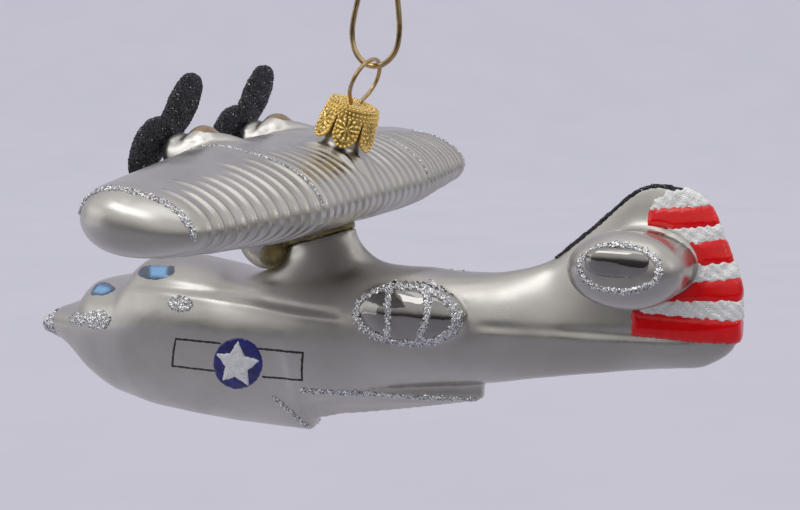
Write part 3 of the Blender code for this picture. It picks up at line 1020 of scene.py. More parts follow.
FINISHES = {
    # pearly silver lacquer over silvered glass
    "satin_silver": Finish(
        {"Metallic": 0.95, "Coat Weight": 0.05, "Coat Roughness": 0.35}, ("noise", 16.0, 4.0),
        ((0.35, (0.50, 0.48, 0.45)), (0.65, (0.60, 0.58, 0.555))),
        (5.0, 0.26, 0.36), (5.0, 1.0, 0.07),
    ),
    # bare silvered glass with the slow waves of blown glass
    "mirror_glass": Finish(
        {"Metallic": 1.0}, ("noise", 6.0), ((0.3, (0.31, 0.30, 0.29)), (0.7, (0.40, 0.388, 0.375))),
        (2.0, 0.03, 0.07), (4.5, 1.0, 0.14),
    ),
    "silver_flakes": flakes(
        (
            (0.0, (0.14, 0.14, 0.17)), (0.25, (0.78, 0.79, 0.82)), (0.6, (0.98, 0.98, 1.0)),
            (1.0, (1.0, 1.0, 1.0)),
        )
    ),
    "frost_flakes": flakes(
        (
            (0.0, (0.80, 0.84, 0.90)), (0.5, (0.94, 0.96, 0.97)), (0.85, (1.0, 1.0, 0.98)),
            (1.0, (0.95, 0.85, 0.70)),
        ),
        0.22,
    ),
    "black_flakes": flakes(
        (
            (0.0, (0.008, 0.008, 0.012)), (0.80, (0.03, 0.03, 0.042)), (0.94, (0.12, 0.13, 0.16)),
            (1.0, (0.85, 0.88, 0.80)),
        ),
        0.2,
    ),
    "silver_bed": bed((0.80, 0.81, 0.85), (0.08, 0.08, 0.10)),
    "frost_bed": bed((0.98, 0.985, 0.99), (0.90, 0.92, 0.94), 0.0),
    "black_bed": bed((0.035, 0.035, 0.05), (0.004, 0.004, 0.006), 0.2),
    # clear blue lacquer, darker along its edge
    "window_blue": Finish(
        {"Metallic": 0.35, "Coat Weight": 1.0, "Coat Roughness": 0.05}, ("attribute", "inset"),
        ((0.0, (0.045, 0.08, 0.14)), (0.5, (0.10, 0.25, 0.50)), (1.0, (0.22, 0.50, 0.84))),
        (1.0, 0.12, 0.25), (1.2, 2.0, 0.08),
    ),
    "ink": enamel((0.020, 0.014, 0.016), (0.006, 0.005, 0.006), 0.35, 0.02),
    "blue_enamel": enamel((0.016, 0.020, 0.24), (0.006, 0.007, 0.11)),
    "red_enamel": enamel((0.92, 0.0, 0.004), (0.80, 0.0, 0.003), 0.07, 0.03),
    # tan painted reflection on the nacelle crests, laid as a thin gloss coat
    "tan_painted_reflection": enamel((0.36, 0.25, 0.15), (0.24, 0.16, 0.09), 0.25, 0.05),
    # amber glue, darkened to dark olive as painted shade for the shadow under the wing
    "amber_glue": Finish(
        {"Coat Weight": 0.3, "Coat Roughness": 0.2}, ("noise", 2.2),
        ((0.3, (0.10, 0.08, 0.035)), (0.7, (0.38, 0.29, 0.09))), (1.0, 0.18, 0.35), (1.4, 3.0, 0.2),
    ),
    # gold-coloured sheet, with painted shade darkening its hollows and a painted highlight
    # lightening its embossed highs
    "embossed_gold": Finish(
        {"Metallic": 1.0}, ("attribute", "high"),
        ((0.0, (0.42, 0.29, 0.06)), (0.75, (0.95, 0.69, 0.25))),
        (0.35, 0.11, 0.21), (0.35, 2.0, 0.05),
    ),
    "gold_wire": Finish(
        {"Metallic": 1.0}, ("noise", 2.5), ((0.35, (0.40, 0.28, 0.14)), (0.65, (0.62, 0.46, 0.25))),
        (1.2, 0.12, 0.26), (1.6, 1.0, 0.02),
    ),
}


# Geometry node trees


class Tree(Nodes):
    """A geometry node tree with named inputs, run once on an object."""

    def __init__(self, name: str) -> None:
        """Start a tree with a geometry input and output.

        Args:
            name: Name of the tree.
        """
        super().__init__(bpy.data.node_groups.new(name, "GeometryNodeTree"))
        self.sockets: dict[str, str] = {}
        for direction in ("INPUT", "OUTPUT"):
            self.tree.interface.new_socket(
                "Geometry", in_out=direction, socket_type="NodeSocketGeometry"
            )
        self.ask("Finish", "NodeSocketMaterial")
        self.source = self.node("NodeGroupInput")
        self.build()

    def build(self) -> None:
        """Add the tree's own inputs and nodes."""
        raise NotImplementedError

    def ask(self, name: str, kind: str = "NodeSocketFloat") -> None:
        """Add a named input of a kind of socket."""
        made = self.tree.interface.new_socket(name, in_out="INPUT", socket_type=kind)
        self.sockets[name] = made.identifier

    def value(self, name: str) -> Socket:
        """Socket of a named input."""
        return self.source.outputs[name]

    def math(self, operation: str, *values: Socket | float) -> Socket:
        """Result of a calculation with sockets or numbers."""
        return self.node("ShaderNodeMath", dict(enumerate(values)), operation=operation).outputs[0]

    def settle(self, geometry: Socket) -> None:
        """End the tree: instances made real, then the finish.

        Args:
            geometry: Geometry that the tree has made.
        """
        real = self.node("GeometryNodeRealizeInstances", {"Geometry": geometry})
        feeds = {"Geometry": real.outputs["Geometry"], "Material": self.value("Finish")}
        finish = self.node("GeometryNodeSetMaterial", feeds)
        self.node("NodeGroupOutput", {0: finish.outputs["Geometry"]})

    def run(self, obj: Object, **values: object) -> Mesh:
        """Run the tree on an object and leave the object as it was.

        Args:
            obj: Object that the tree reads.
            values: Inputs by name, with underscores for spaces.

        Returns:
            A plain mesh with the result.
        """
        modifier = obj.modifiers.new(self.tree.name, "NODES")
        modifier.node_group = self.tree
        for key, value in values.items():
            modifier[self.sockets[key.replace("_", " ")]] = value
        return applied(obj, modifier)


class FlakeTree(Tree):
    """Scatters small flat flakes over a coat."""

    CORNERS = 5
    THICKNESS = 0.35
    SMALLEST, LARGEST = 0.55, 1.35

    def build(self) -> None:
        """Inputs: flakes a square metre, their radius, their tilt and the seed."""
        for name in ("Density", "Flake Radius", "Tilt"):
            self.ask(name)
        self.ask("Seed", "NodeSocketInt")
        radius, tilt, seed = (self.value(name) for name in ("Flake Radius", "Tilt", "Seed"))
        scatter = self.node(
            "GeometryNodeDistributePointsOnFaces",
            {"Mesh": self.value("Geometry"), "Density": self.value("Density"), "Seed": seed},
        )
        depth = self.math("MULTIPLY", radius, self.THICKNESS)
        flake = self.node(
            "GeometryNodeMeshCone",
            {"Vertices": self.CORNERS, "Radius Bottom": radius, "Depth": depth},
        )
        back = self.math("MULTIPLY", tilt, -1.0)
        low = self.node("ShaderNodeCombineXYZ", {"X": back, "Y": back})
        high = self.node("ShaderNodeCombineXYZ", {"X": tilt, "Y": tilt, "Z": 2 * math.pi})
        lean = self.node(
            "FunctionNodeRandomValue",
            {"Min": low.outputs[0], "Max": high.outputs[0], "Seed": seed}, data_type="FLOAT_VECTOR",
        )
        turn = self.node("FunctionNodeEulerToRotation", {"Euler": lean.outputs["Value"]})
        both = self.node(
            "FunctionNodeRotateRotation",
            {"Rotation": scatter.outputs["Rotation"], "Rotate By": turn.outputs["Rotation"]},
            rotation_space="LOCAL",
        )
        size = self.node(
            "FunctionNodeRandomValue", {2: self.SMALLEST, 3: self.LARGEST, "Seed": seed},
            data_type="FLOAT",
        )
        place = self.node(
            "GeometryNodeInstanceOnPoints",
            {
                "Points": scatter.outputs["Points"], "Instance": flake.outputs["Mesh"],
                "Rotation": both.outputs["Rotation"], "Scale": size.outputs[1],
            },
        )
        self.settle(place.outputs["Instances"])


class RibTree(Tree):
    """Raises rounded ribs across a wing, where the share attribute says."""

    SHARPNESS = 4.0
    SUNK = 0.22

    def build(self) -> None:
        """Inputs: distance between ribs and height of a rib, in metres."""
        self.ask("Pitch")
        self.ask("Height")
        place = self.node("GeometryNodeInputPosition")
        apart = self.node("ShaderNodeSeparateXYZ", {0: place.outputs[0]})
        turns = self.math("DIVIDE", apart.outputs["Y"], self.value("Pitch"))
        wave = self.math("COSINE", self.math("MULTIPLY", turns, 2 * math.pi))
        crest = self.math("POWER", self.math("MULTIPLY_ADD", wave, -0.5, 0.5), self.SHARPNESS)
        share = self.node(
            "GeometryNodeInputNamedAttribute", {"Name": "rib_share"}, data_type="FLOAT"
        )
        crest = self.math("SUBTRACT", crest, self.SUNK)
        raised = self.math("MULTIPLY", crest, self.value("Height"))
        raised = self.math("MULTIPLY", raised, share.outputs["Attribute"])
        normal = self.node("GeometryNodeInputNormal").outputs[0]
        offset = self.node("ShaderNodeVectorMath", {0: normal, "Scale": raised}, operation="SCALE")
        move = self.node(
            "GeometryNodeSetPosition",
            {"Geometry": self.value("Geometry"), "Offset": offset.outputs[0]},
        )
        self.settle(move.outputs["Geometry"])


class WireTree(Tree):
    """Draws a round wire along a line of edges."""

    def build(self) -> None:
        """Input: the wire's radius in metres."""
        self.ask("Radius")
        line = self.node("GeometryNodeMeshToCurve", {"Mesh": self.value("Geometry")})
        circle = self.node(
            "GeometryNodeCurvePrimitiveCircle", {"Resolution": 20, "Radius": self.value("Radius")}
        )
        sweep = self.node(
            "GeometryNodeCurveToMesh",
            {
                "Fill Caps": True, "Curve": line.outputs["Curve"],
                "Profile Curve": circle.outputs["Curve"],
            },
        )
        self.settle(sweep.outputs["Mesh"])


class BeadTree(Tree):
    """Sets small round beads along lines of edges."""

    def build(self) -> None:
        """Inputs: distance between beads and the bead's radius, in metres."""
        self.ask("Pitch")
        self.ask("Bead Radius")
        line = self.node("GeometryNodeMeshToCurve", {"Mesh": self.value("Geometry")})
        spaced = self.node(
            "GeometryNodeResampleCurve",
            {"Curve": line.outputs["Curve"], "Length": self.value("Pitch")}, mode="LENGTH",
        )
        bead = self.node(
            "GeometryNodeMeshIcoSphere", {"Subdivisions": 2, "Radius": self.value("Bead Radius")}
        )
        place = self.node(
            "GeometryNodeInstanceOnPoints",
            {"Points": spaced.outputs["Curve"], "Instance": bead.outputs["Mesh"]},
        )
        self.settle(place.outputs["Instances"])


def line_object(lines: list[Array], closed: bool = False) -> Object:
    """Make an object of edges for a tree to read.

    Args:
        lines: Points of each line, in millimetres from the wing centre.
        closed: Whether each line comes back to its start.

    Returns:
        The linked object.
    """
    points: list[list[float]] = []
    edges: list[tuple[int, int]] = []
    for line in lines:
        start = len(points)
        points += (line * MM + np.array(CENTRE)).tolist()
        edges += [(start + k, start + k + 1) for k in range(len(line) - 1)]
        if closed:
            edges.append((len(points) - 1, start))
    mesh = bpy.data.meshes.new("line")
    mesh.from_pydata(points, edges, [])
    return linked("line", mesh)


class Workshop:
    """Trees and finishes that several pieces share."""

    def __init__(self) -> None:
        """Build the trees and the materials."""
        self.flakes = FlakeTree("scattered_flakes")
        self.ribs = RibTree("raised_ribs")
        self.wires = WireTree("round_wire")
        self.beads = BeadTree("bead_rows")
        self.looks = {name: finish.material(name) for name, finish in FINISHES.items()}

    def sprinkle(
        self, obj: Object, look: str, density: float = 15.0, radius: float = 0.19, seed: int = 1,
        tilt: float = 0.75,
    ) -> None:
        """Stick flakes on a coat.

        Args:
            obj: The coat, which takes the flakes into its mesh.
            look: Kind of flakes.
            density: Flakes a square millimetre.
            radius: Radius of a flake in millimetres.
            seed: Seed of the scatter.
            tilt: How far the flakes may lean, in radians.
        """
        extra = self.flakes.run(
            obj, Finish=self.looks[look + "_flakes"], Density=density / MM**2,
            Flake_Radius=radius * MM, Tilt=tilt, Seed=seed,
        )
        add_to(obj, extra, flat=True)

    def wire(self, name: str, route: Array, width: float) -> Object:
        """Draw a round gold wire.

        Args:
            name: Name of the piece.
            route: Points of its middle line.
            width: Width of the wire.

        Returns:
            The piece.
        """
        line = line_object([route])
        mesh = self.wires.run(line, Finish=self.looks["gold_wire"], Radius=width / 2 * MM)
        drop(line)
        obj = linked(name, mesh)
        weld(obj, 0.001)
        return obj


def finish_piece(obj: Object, body: Body, slot: str, *stands_for: str) -> None:
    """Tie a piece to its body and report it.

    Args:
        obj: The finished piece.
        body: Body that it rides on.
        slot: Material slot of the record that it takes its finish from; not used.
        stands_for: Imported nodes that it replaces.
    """
    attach(obj, body.value)
    if stands_for:
        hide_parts(*stands_for)
    log.info("%s: %d faces", obj.name, len(obj.data.polygons))


# Hull


@dataclass
class HullGlass:
    """Hull, pylon, fin, stubs and blisters, blown in one piece.

    Attributes:
        grain: Size of the fused skin's faces.
        points: Points on a hull ring.
    """

    grain: float = 0.40
    points: int = 112
    afterbody_chine: float = -35.4
    afterbody_top: float = -27.0
    stub_centre: Triple = (62.2, 0.0, -9.4)
    blister_centre: Triple = (22.4, 8.2, -20.0)
    blister_reach: Triple = (10.4, 4.4, 5.5)
    seam_depth: float = 0.34

    # rounds of smoothing: at constant volume, shrinking, and at the soft spots
    EVEN, SHRINK, SOFT = 14, 6, 90

    # x, top, keel, widest, half-width, power above, power below
    STATIONS = np.array([
        (-61.0, -28.5, -29.7, -29.1, 0.6, 2.0, 2.0), (-60.5, -27.7, -30.4, -29.1, 1.4, 2.0, 2.0),
        (-59.5, -27.3, -30.8, -29.0, 1.8, 2.0, 2.0), (-58.5, -27.0, -31.0, -28.9, 2.2, 2.0, 2.0),
        (-57.2, -25.8, -31.4, -28.6, 3.0, 2.0, 2.0), (-53.5, -24.4, -33.3, -28.6, 5.0, 2.0, 2.0),
        (-50.2, -22.9, -36.0, -28.6, 6.6, 2.0, 2.0), (-48.2, -20.4, -37.7, -28.4, 7.6, 2.0, 2.0),
        (-45.6, -18.8, -39.4, -28.0, 8.7, 2.0, 2.0), (-42.0, -18.2, -41.1, -27.6, 9.8, 2.0, 1.9),
        (-38.6, -17.6, -42.1, -27.2, 10.7, 2.0, 1.8), (-36.4, -15.4, -42.6, -26.8, 11.2, 2.0, 1.8),
        (-33.6, -13.8, -43.2, -26.4, 11.7, 2.0, 1.7), (-28.0, -13.4, -43.8, -26.0, 12.4, 2.1, 1.6),
        (-20.0, -14.4, -44.4, -25.8, 13.0, 2.2, 1.5), (-12.0, -15.8, -44.7, -25.8, 13.2, 2.3, 1.45),
        (-5.0, -15.4, -44.8, -25.8, 13.1, 2.3, 1.4), (-1.2, -14.8, -44.8, -25.8, 12.9, 2.3, 1.4),
        (0.6, -14.4, -40.4, -25.8, 12.8, 2.3, 1.9), (6.0, -13.5, -38.8, -25.6, 12.3, 2.4, 2.0),
        (13.0, -13.0, -36.8, -25.4, 11.6, 2.5, 2.0), (20.0, -13.0, -35.0, -25.0, 10.6, 2.5, 2.0),
        (27.0, -13.3, -33.8, -24.4, 9.2, 2.4, 2.0), (34.0, -13.1, -32.7, -23.8, 7.6, 2.1, 2.0),
        (40.6, -11.9, -31.5, -23.2, 6.2, 1.8, 2.0), (45.2, -10.1, -30.7, -22.8, 5.4, 1.5, 2.0),
        (49.6, -6.5, -29.9, -22.6, 4.8, 1.35, 2.0), (53.9, -2.8, -29.2, -22.6, 4.4, 1.3, 2.0),
        (57.6, 0.6, -28.6, -22.6, 4.1, 1.3, 2.0), (60.9, 3.0, -28.1, -22.6, 3.8, 1.3, 2.0),
        (64.3, 3.8, -27.6, -22.4, 3.6, 1.35, 2.0), (68.0, 3.3, -27.2, -22.0, 3.4, 1.4, 2.0),
        (70.0, 2.4, -27.0, -21.6, 3.3, 1.45, 2.0), (72.2, 1.0, -26.6, -21.0, 3.1, 1.5, 2.0),
        (74.0, -2.2, -25.7, -20.3, 2.9, 1.6, 2.0), (75.8, -6.8, -24.6, -19.6, 2.5, 1.7, 2.0),
        (77.4, -10.4, -23.0, -18.7, 1.8, 1.8, 2.0), (78.2, -13.6, -21.2, -18.0, 1.0, 2.0, 2.0),
    ])

    # x, keel, chine half-width
    AFTERBODY = np.array([
        (-1.0, -42.6, 9.4), (1.5, -42.2, 9.0), (4.7, -41.3, 8.4), (13.3, -39.9, 6.6),
        (25.2, -37.6, 3.6), (31.0, -36.4, 1.9), (33.0, -35.6, 0.9),
    ])

    # y, half chord, half depth
    STUB = np.array([
        (0.0, 8.8, 4.8), (5.0, 9.4, 5.5), (9.0, 9.9, 6.2), (12.0, 9.8, 6.4), (14.2, 8.8, 5.7),
        (15.6, 6.9, 4.5), (16.4, 4.2, 2.6),
    ])

    # row, centre x, centre z, half-length, half-width, tilt in degrees
    PYLON = np.array([
        (0.0, 2.4, -20.0, 17.0, 8.4, 0.0), (1.0, 2.6, -15.8, 13.6, 7.0, 0.0),
        (2.0, 2.6, -13.2, 10.2, 5.6, 3.0), (3.0, 1.7, -11.6, 8.3, 4.7, 8.0),
        (4.0, 0.9, -10.0, 7.4, 4.2, 13.0), (5.0, 0.37, -8.7, 7.56, 3.8, 16.5),
    ])

    # x, height of the mould seam, how strongly it shows
    SEAM = np.array([
        (-57.0, -18.2, 0.0), (-36.0, -18.4, 0.0), (-31.0, -18.6, 0.8), (-21.2, -18.8, 1.0),
        (-12.3, -19.1, 0.9), (-5.7, -19.6, 1.0), (0.6, -20.2, 0.8), (8.5, -20.8, 0.5),
        (12.0, -21.1, 0.0), (33.0, -21.7, 0.0), (37.0, -21.9, 0.35), (44.0, -22.0, 0.2),
        (54.0, -22.0, 0.45), (66.0, -21.9, 0.4), (77.0, -21.5, 0.0),
    ])

    # x, y, z and radius of the places where the glass flowed together most softly, on both sides
    SOFT_SPOTS = (
        (-10.0, 0.0, -14.5, 9.0), (14.0, 0.0, -13.5, 9.0), (2.0, 7.0, -15.5, 8.0),
        (62.0, 4.0, -14.5, 6.0), (62.0, 4.0, -3.5, 5.0), (53.0, 4.0, -9.0, 5.0),
        (-44.0, 0.0, -19.0, 4.0),
    )

    def rings(self) -> Array:
        """Rings of the hull along X.

        Returns:
            Points as rings by count by 3.
        """
        at = np.arange(self.STATIONS[0, 0], self.STATIONS[-1, 0], 0.45)
        columns = read(self.STATIONS, at).T
        top, keel, widest, half_width, above, below = (column[:, None] for column in columns)
        turn = np.arange(self.points)[None, :] * 2 * math.pi / self.points
        upper = np.cos(turn) >= 0
        power = 2 / np.where(upper, above, below)
        reach = np.where(upper, top - widest, widest - keel)
        side = np.sign(np.sin(turn)) * np.abs(np.sin(turn)) ** power
        height = np.sign(np.cos(turn)) * np.abs(np.cos(turn)) ** power
        x = np.broadcast_to(at[:, None], side.shape)
        return np.stack([x, half_width * side, widest + reach * height], axis=-1)

    def afterbody_rings(self) -> Array:
        """Rings of the wedge behind the main step.

        Returns:
            Points as rings by count by 3.
        """
        rings = []
        for x, keel, chine in self.AFTERBODY:
            knee = keel * 0.52 + self.afterbody_chine * 0.48
            half = [
                (chine * 0.55, knee), (chine, self.afterbody_chine),
                (chine * 0.6, self.afterbody_top),
            ]
            outline = [(0.0, keel), *half, *((-y, z) for y, z in reversed(half))]
            rings.append([(x, y, z) for y, z in outline])
        return np.array(rings)

    def stub_rings(self) -> Array:
        """Rings of both tailplane stubs, from end to end.

        Returns:
            Points as rings by count by 3.
        """
        at = np.linspace(0.0, self.STUB[-1, 0], 60)
        half = read(self.STUB, at)
        half = np.vstack([half[:0:-1], half])
        reach = np.concatenate([-at[:0:-1], at])
        return stand(oval(72, half[:, 0], half[:, 1]), reach, 1) + self.stub_centre

    def pylon_rings(self) -> Array:
        """Rings of the pylon up to the glued seat.

        Returns:
            Points as rings by count by 3.
        """
        rings = []
        for x, z, length, width, tilt in read(self.PYLON, np.linspace(0.0, 5.0, 26)):
            flat = oval(72, np.array([length]), np.array([width]))[0]
            ring = np.column_stack([flat, np.zeros(len(flat))])
            rings.append(ring @ rotation("Y", -math.radians(tilt)).T + (x, 0.0, z))
        return np.array(rings)

    def blister(self, side: Side) -> Skin:
        """One waist blister as a closed egg-shaped skin."""
        centre = np.array(self.blister_centre) * (1.0, side.value, 1.0)
        return loft(ball(40, 60, 0.06, 0) * self.blister_reach + centre)

    def skin(self) -> Skin:
        """Fuse the hull's shapes and soften the places where they meet.

        Returns:
            The finished skin of the blown hull.
        """
        parts = [
            loft(self.rings()), loft(self.afterbody_rings()), loft(self.stub_rings()),
            loft(self.pylon_rings()), *(self.blister(side) for side in BOTH_SIDES),
        ]
        glass = melt(parts, self.grain)
        glass.relax(self.EVEN, shrink=False)
        glass.relax(self.SHRINK)
        spots = np.zeros(len(glass.points))
        for x, y, z, radius in self.SOFT_SPOTS:
            for side in BOTH_SIDES:
                away = np.linalg.norm(glass.points - (x, side.value * y, z), axis=1)
                spots = np.maximum(spots, 1.0 - smooth_step(0.5 * radius, radius, away))
        glass.relax(self.SOFT, spots)
        self.press_seam(glass)
        glass.dent(0.05, 11.0, 4.0)
        return glass

    def press_seam(self, glass: Skin) -> None:
        """Press the mould's seam into both sides.

        Args:
            glass: Skin of the hull, which is changed.
        """
        x, y, z = glass.points.T
        normals = glass.normals()
        reach = np.clip(x, self.SEAM[0, 0], self.SEAM[-1, 0])
        seam, shown = read(self.SEAM, reach).T
        height = z - seam
        centre = np.array(self.blister_centre)
        outside = np.hypot((x - centre[0]) / 11.2, (z - centre[2]) / 6.8)
        clear = smooth_step(1.0, 1.15, outside) * smooth_step(0.35, 0.6, np.abs(normals[:, 1]))
        clear *= 1.0 - smooth_step(5.0, 6.0, np.abs(y)) * (x > 48.0)
        groove = np.exp(-(((height - 0.55) / 0.75) ** 2))
        shelf = np.exp(-(((height + 0.75) / 0.8) ** 2))
        press = self.seam_depth * shown * clear * (0.55 * shelf - groove)
        glass.points += normals * press[:, None]

    def build(self, shop: Workshop) -> Skin:
        """Build the hull's piece.

        Args:
            shop: Shared finishes.

        Returns:
            The skin, for the coats that lie on it.
        """
        glass = self.skin()
        obj = glass.object("hull_blown_glass", shop.looks["satin_silver"])
        finish_piece(obj, Body.GLASS, "hull_silver", "hull_glass")
        return glass


# Wing

# the neck's lean aft in degrees, and the place on its axis where the cap's rim lies
NECK_LEAN = 21.8
NECK_FOOT = (5.2, 0.0, 9.0)


def from_neck(local: Array) -> Array:
    """Turn places on the neck's own axis, up from the cap's rim, into the ornament's."""
    return local @ rotation("Y", math.radians(NECK_LEAN)).T + NECK_FOOT


def to_neck(points: Array) -> Array:
    """Turn the ornament's places into places on the neck's own axis."""
    return (points - NECK_FOOT) @ rotation("Y", math.radians(NECK_LEAN))


@dataclass
class WingGlass:
    """Wing, nacelles, belly saddle and neck, blown in one piece."""

    grain: float = 0.31
    half_span: float = 57.0
    tip_start: float = 48.9
    tip_roundness: float = 2.6
    panel_break: float = 21.5
    root_chord: float = 32.0
    root_depth: float = 16.8
    root_middle: tuple[float, float] = (-3.0, 0.5)
    tip_chord: float = 21.4
    tip_depth: float = 10.8
    tip_middle: tuple[float, float] = (-4.0, 0.2)
    incidence: float = 7.0
    roll: float = 1.4
    nose_fullness: float = 0.28
    underside: float = 0.92
    rib_pitch: float = 2.7
    rib_height: float = 0.44
    rib_start: float = -0.02
    ribs_end: float = 49.5
    engine_offset: float = 13.5
    neck_radius: float = 3.8
    bore_radius: float = 2.95
    neck_top: float = 6.5
    neck_root: float = -7.5
    bore_floor: float = -5.5

    # rounds of smoothing: at constant volume, shrinking, and where shapes meet
    EVEN, SHRINK, SOFT = 12, 4, 40

    # x, top, bottom, half-width
    NACELLE = np.array([
        (-21.6, 9.6, 5.6, 2.8), (-21.4, 10.3, 4.4, 4.3), (-20.8, 10.8, 3.2, 5.1),
        (-19.8, 10.9, 2.2, 5.4), (-18.6, 10.5, 1.4, 5.3), (-17.6, 11.3, 0.8, 5.0),
        (-16.6, 12.05, 0.4, 4.3), (-15.2, 12.35, 0.4, 4.1), (-13.9, 12.0, 0.4, 3.9),
        (-12.8, 11.2, 0.4, 3.7), (-10.5, 10.85, 0.4, 3.4), (-6.5, 9.9, 0.4, 3.0),
        (-2.0, 8.6, 0.4, 2.4),
    ])

    SEAT_FRONT = (-7.0, -10.2)
    SEAT_BACK = (7.5, -5.9)
    SEAT_HALF_WIDTH = 3.8
    LOBE_CENTRE = (-11.0, 0.0, -9.2)
    LOBE_REACH = (5.2, 4.3, 6.2)
    LOBE_LEAN = 22.0

    def measures(self, y: Array) -> tuple[Array, Array, Array, Array]:
        """Chord, depth and middle of the wing along its span.

        Args:
            y: Places along the span.

        Returns:
            Chord, depth, and the middle's x and z.
        """
        reach = np.maximum(0.0, np.abs(y) - self.panel_break) / (self.half_span - self.panel_break)
        past = np.maximum(0.0, np.abs(y) - self.tip_start) / (self.half_span - self.tip_start)
        shrink = (1.0 - np.minimum(past, 0.9995) ** self.tip_roundness) ** (1 / self.tip_roundness)
        chord = self.root_chord + (self.tip_chord - self.root_chord) * reach
        depth = self.root_depth + (self.tip_depth - self.root_depth) * reach
        x = self.root_middle[0] + (self.tip_middle[0] - self.root_middle[0]) * reach
        z = self.root_middle[1] + (self.tip_middle[1] - self.root_middle[1]) * reach
        return chord * shrink, depth * shrink, x, z

    def rings(self) -> Array:
        """Rings of the wing from tip to tip.

        Returns:
            Points as rings by count by 3.
        """
        inner = np.arange(0.0, self.tip_start, 0.4)
        past = np.sin(np.linspace(0.0, math.pi / 2, 40)) * 0.9995
        outer = self.tip_start + past * (self.half_span - self.tip_start)
        half = np.concatenate([inner, outer])
        y = np.concatenate([-half[:0:-1], half])
        chord, depth, middle_x, middle_z = (value[:, None] for value in self.measures(y))
        turn = np.arange(120)[None, :] * 2 * math.pi / 120
        aft = np.cos(turn) * chord / 2
        upper = 1.0 + self.nose_fullness * np.maximum(0.0, -np.cos(turn))
        lower = self.underside * (1.0 - self.nose_fullness * np.cos(turn))
        up = np.sin(turn) * np.where(np.sin(turn) >= 0.0, upper, lower) * depth / 2
        tilt = math.radians(self.incidence)
        x = aft * math.cos(tilt) + up * math.sin(tilt) + middle_x
        z = -aft * math.sin(tilt) + up * math.cos(tilt) + middle_z
        return self.rolled(np.stack([x, np.broadcast_to(y[:, None], x.shape), z], axis=-1))

    def rolled(self, points: Array, back: bool = False) -> Array:
        """Turn places by the wing's roll, starboard side up, or turn them back."""
        angle = math.radians(-self.roll if back else self.roll)
        return points @ rotation("X", angle).T

    def along_chord(self, points: Array) -> Array:
        """Place along the chord, from -1 at the leading edge to 1 at the trailing edge.

        Args:
            points: Places from the wing centre.

        Returns:
            One value for each place.
        """
        points = self.rolled(points, back=True)
        chord, _, middle_x, middle_z = self.measures(points[:, 1])
        tilt = math.radians(self.incidence)
        x, z = points[:, 0] - middle_x, points[:, 2] - middle_z
        aft = x * math.cos(tilt) - z * math.sin(tilt)
        return 2 * aft / np.maximum(chord, 1.0)

    def nacelle(self, side: Side) -> Skin:
        """One engine nacelle with its cowl and crest.

        Args:
            side: Side of the wing.

        Returns:
            The closed skin.
        """
        at = np.linspace(self.NACELLE[0, 0], self.NACELLE[-1, 0], 90)
        top, bottom, half = read(self.NACELLE, at).T
        rings = stand(oval(72, half, (top - bottom) / 2), at, 0)
        rings[..., 1] += side.value * self.engine_offset
        rings[..., 2] += ((top + bottom) / 2)[:, None]
        return loft(self.rolled(rings))

    def seat_frame(self) -> tuple[Array, Array, float]:
        """Turn, middle and half-length of the glued seat.

        Returns:
            Matrix of the turn, place of the middle, and half the length.
        """
        front, back = np.array(self.SEAT_FRONT), np.array(self.SEAT_BACK)
        slope = back - front
        turn = rotation("Y", -math.atan2(slope[1], slope[0]))
        middle = (front + back) / 2
        return turn, np.array([middle[0], 0.0, middle[1]]), float(np.linalg.norm(slope)) / 2

    def saddle(self) -> Skin:
        """Lump under the wing's centre down to the seat.

        Returns:
            The closed skin.
        """
        turn, middle, half = self.seat_frame()
        rings = []
        for lift, growth in ((0.65, 0.96), (0.9, 1.0), (2.4, 1.03), (5.5, 1.2)):
            flat = oval(60, np.array([half]), np.array([self.SEAT_HALF_WIDTH]))[0] * growth
            rings.append(np.column_stack([flat, np.full(len(flat), lift)]) @ turn.T + middle)
        return loft(np.array(rings))

    def lobe(self) -> Skin:
        """Rounded lobe under the wing ahead of the pylon, as a closed skin."""
        lean = rotation("Y", -math.radians(self.LOBE_LEAN))
        return loft(ball(30, 48, 0.08, 2) * self.LOBE_REACH @ lean.T + self.LOBE_CENTRE)

    def neck(self) -> Skin:
        """Outside of the neck, with a flared root.

        Returns:
            The closed skin.
        """
        flare = [(-3.2, 4.2), (-2.4, 3.1), (-1.7, 2.1), (-1.05, 1.1), (-0.55, 0.35), (0.3, 0.0)]
        flare = np.array([(self.neck_root, 0.0), *flare, (self.neck_top - 0.6, 0.0)])
        height, radius = flare[:, 0], self.neck_radius + flare[:, 1]
        return loft(from_neck(stand(oval(48, radius, radius), height, 2)))

    def neck_lining(self) -> Skin:
        """Fire-polished lip and the inside of the neck, down to its floor.

        Returns:
            The open skin that lines the bore.
        """
        wall = (self.neck_radius - self.bore_radius) / 2
        lip = np.linspace(0.0, math.pi, 9)
        radius = [self.neck_radius, *(self.bore_radius + wall + wall * np.cos(lip))]
        height = [self.neck_top - 1.3, *(self.neck_top - 0.45 + 0.45 * np.sin(lip))]
        radius += [self.bore_radius, self.bore_radius, self.bore_radius * 0.7, 0.02]
        height += [self.bore_floor + 6.0, self.bore_floor + 1.2]
        height += [self.bore_floor + 0.25, self.bore_floor]
        rings = oval(48, np.array(radius), np.array(radius))
        points = from_neck(stand(rings, np.array(height), 2).reshape(-1, 3))
        return Skin(points, grid_faces(len(radius), 48))

    def open_neck(self, glass: Skin) -> None:
        """Take out the faces that would close the bore.

        Args:
            glass: Skin of the wing, which is changed.
        """
        local = to_neck(glass.points)
        middle = (self.neck_radius + self.bore_radius) / 2
        inside = (np.hypot(local[:, 0], local[:, 1]) < middle) & (local[:, 2] > -3.0)
        glass.faces = glass.faces[~inside[glass.faces].any(axis=1)]

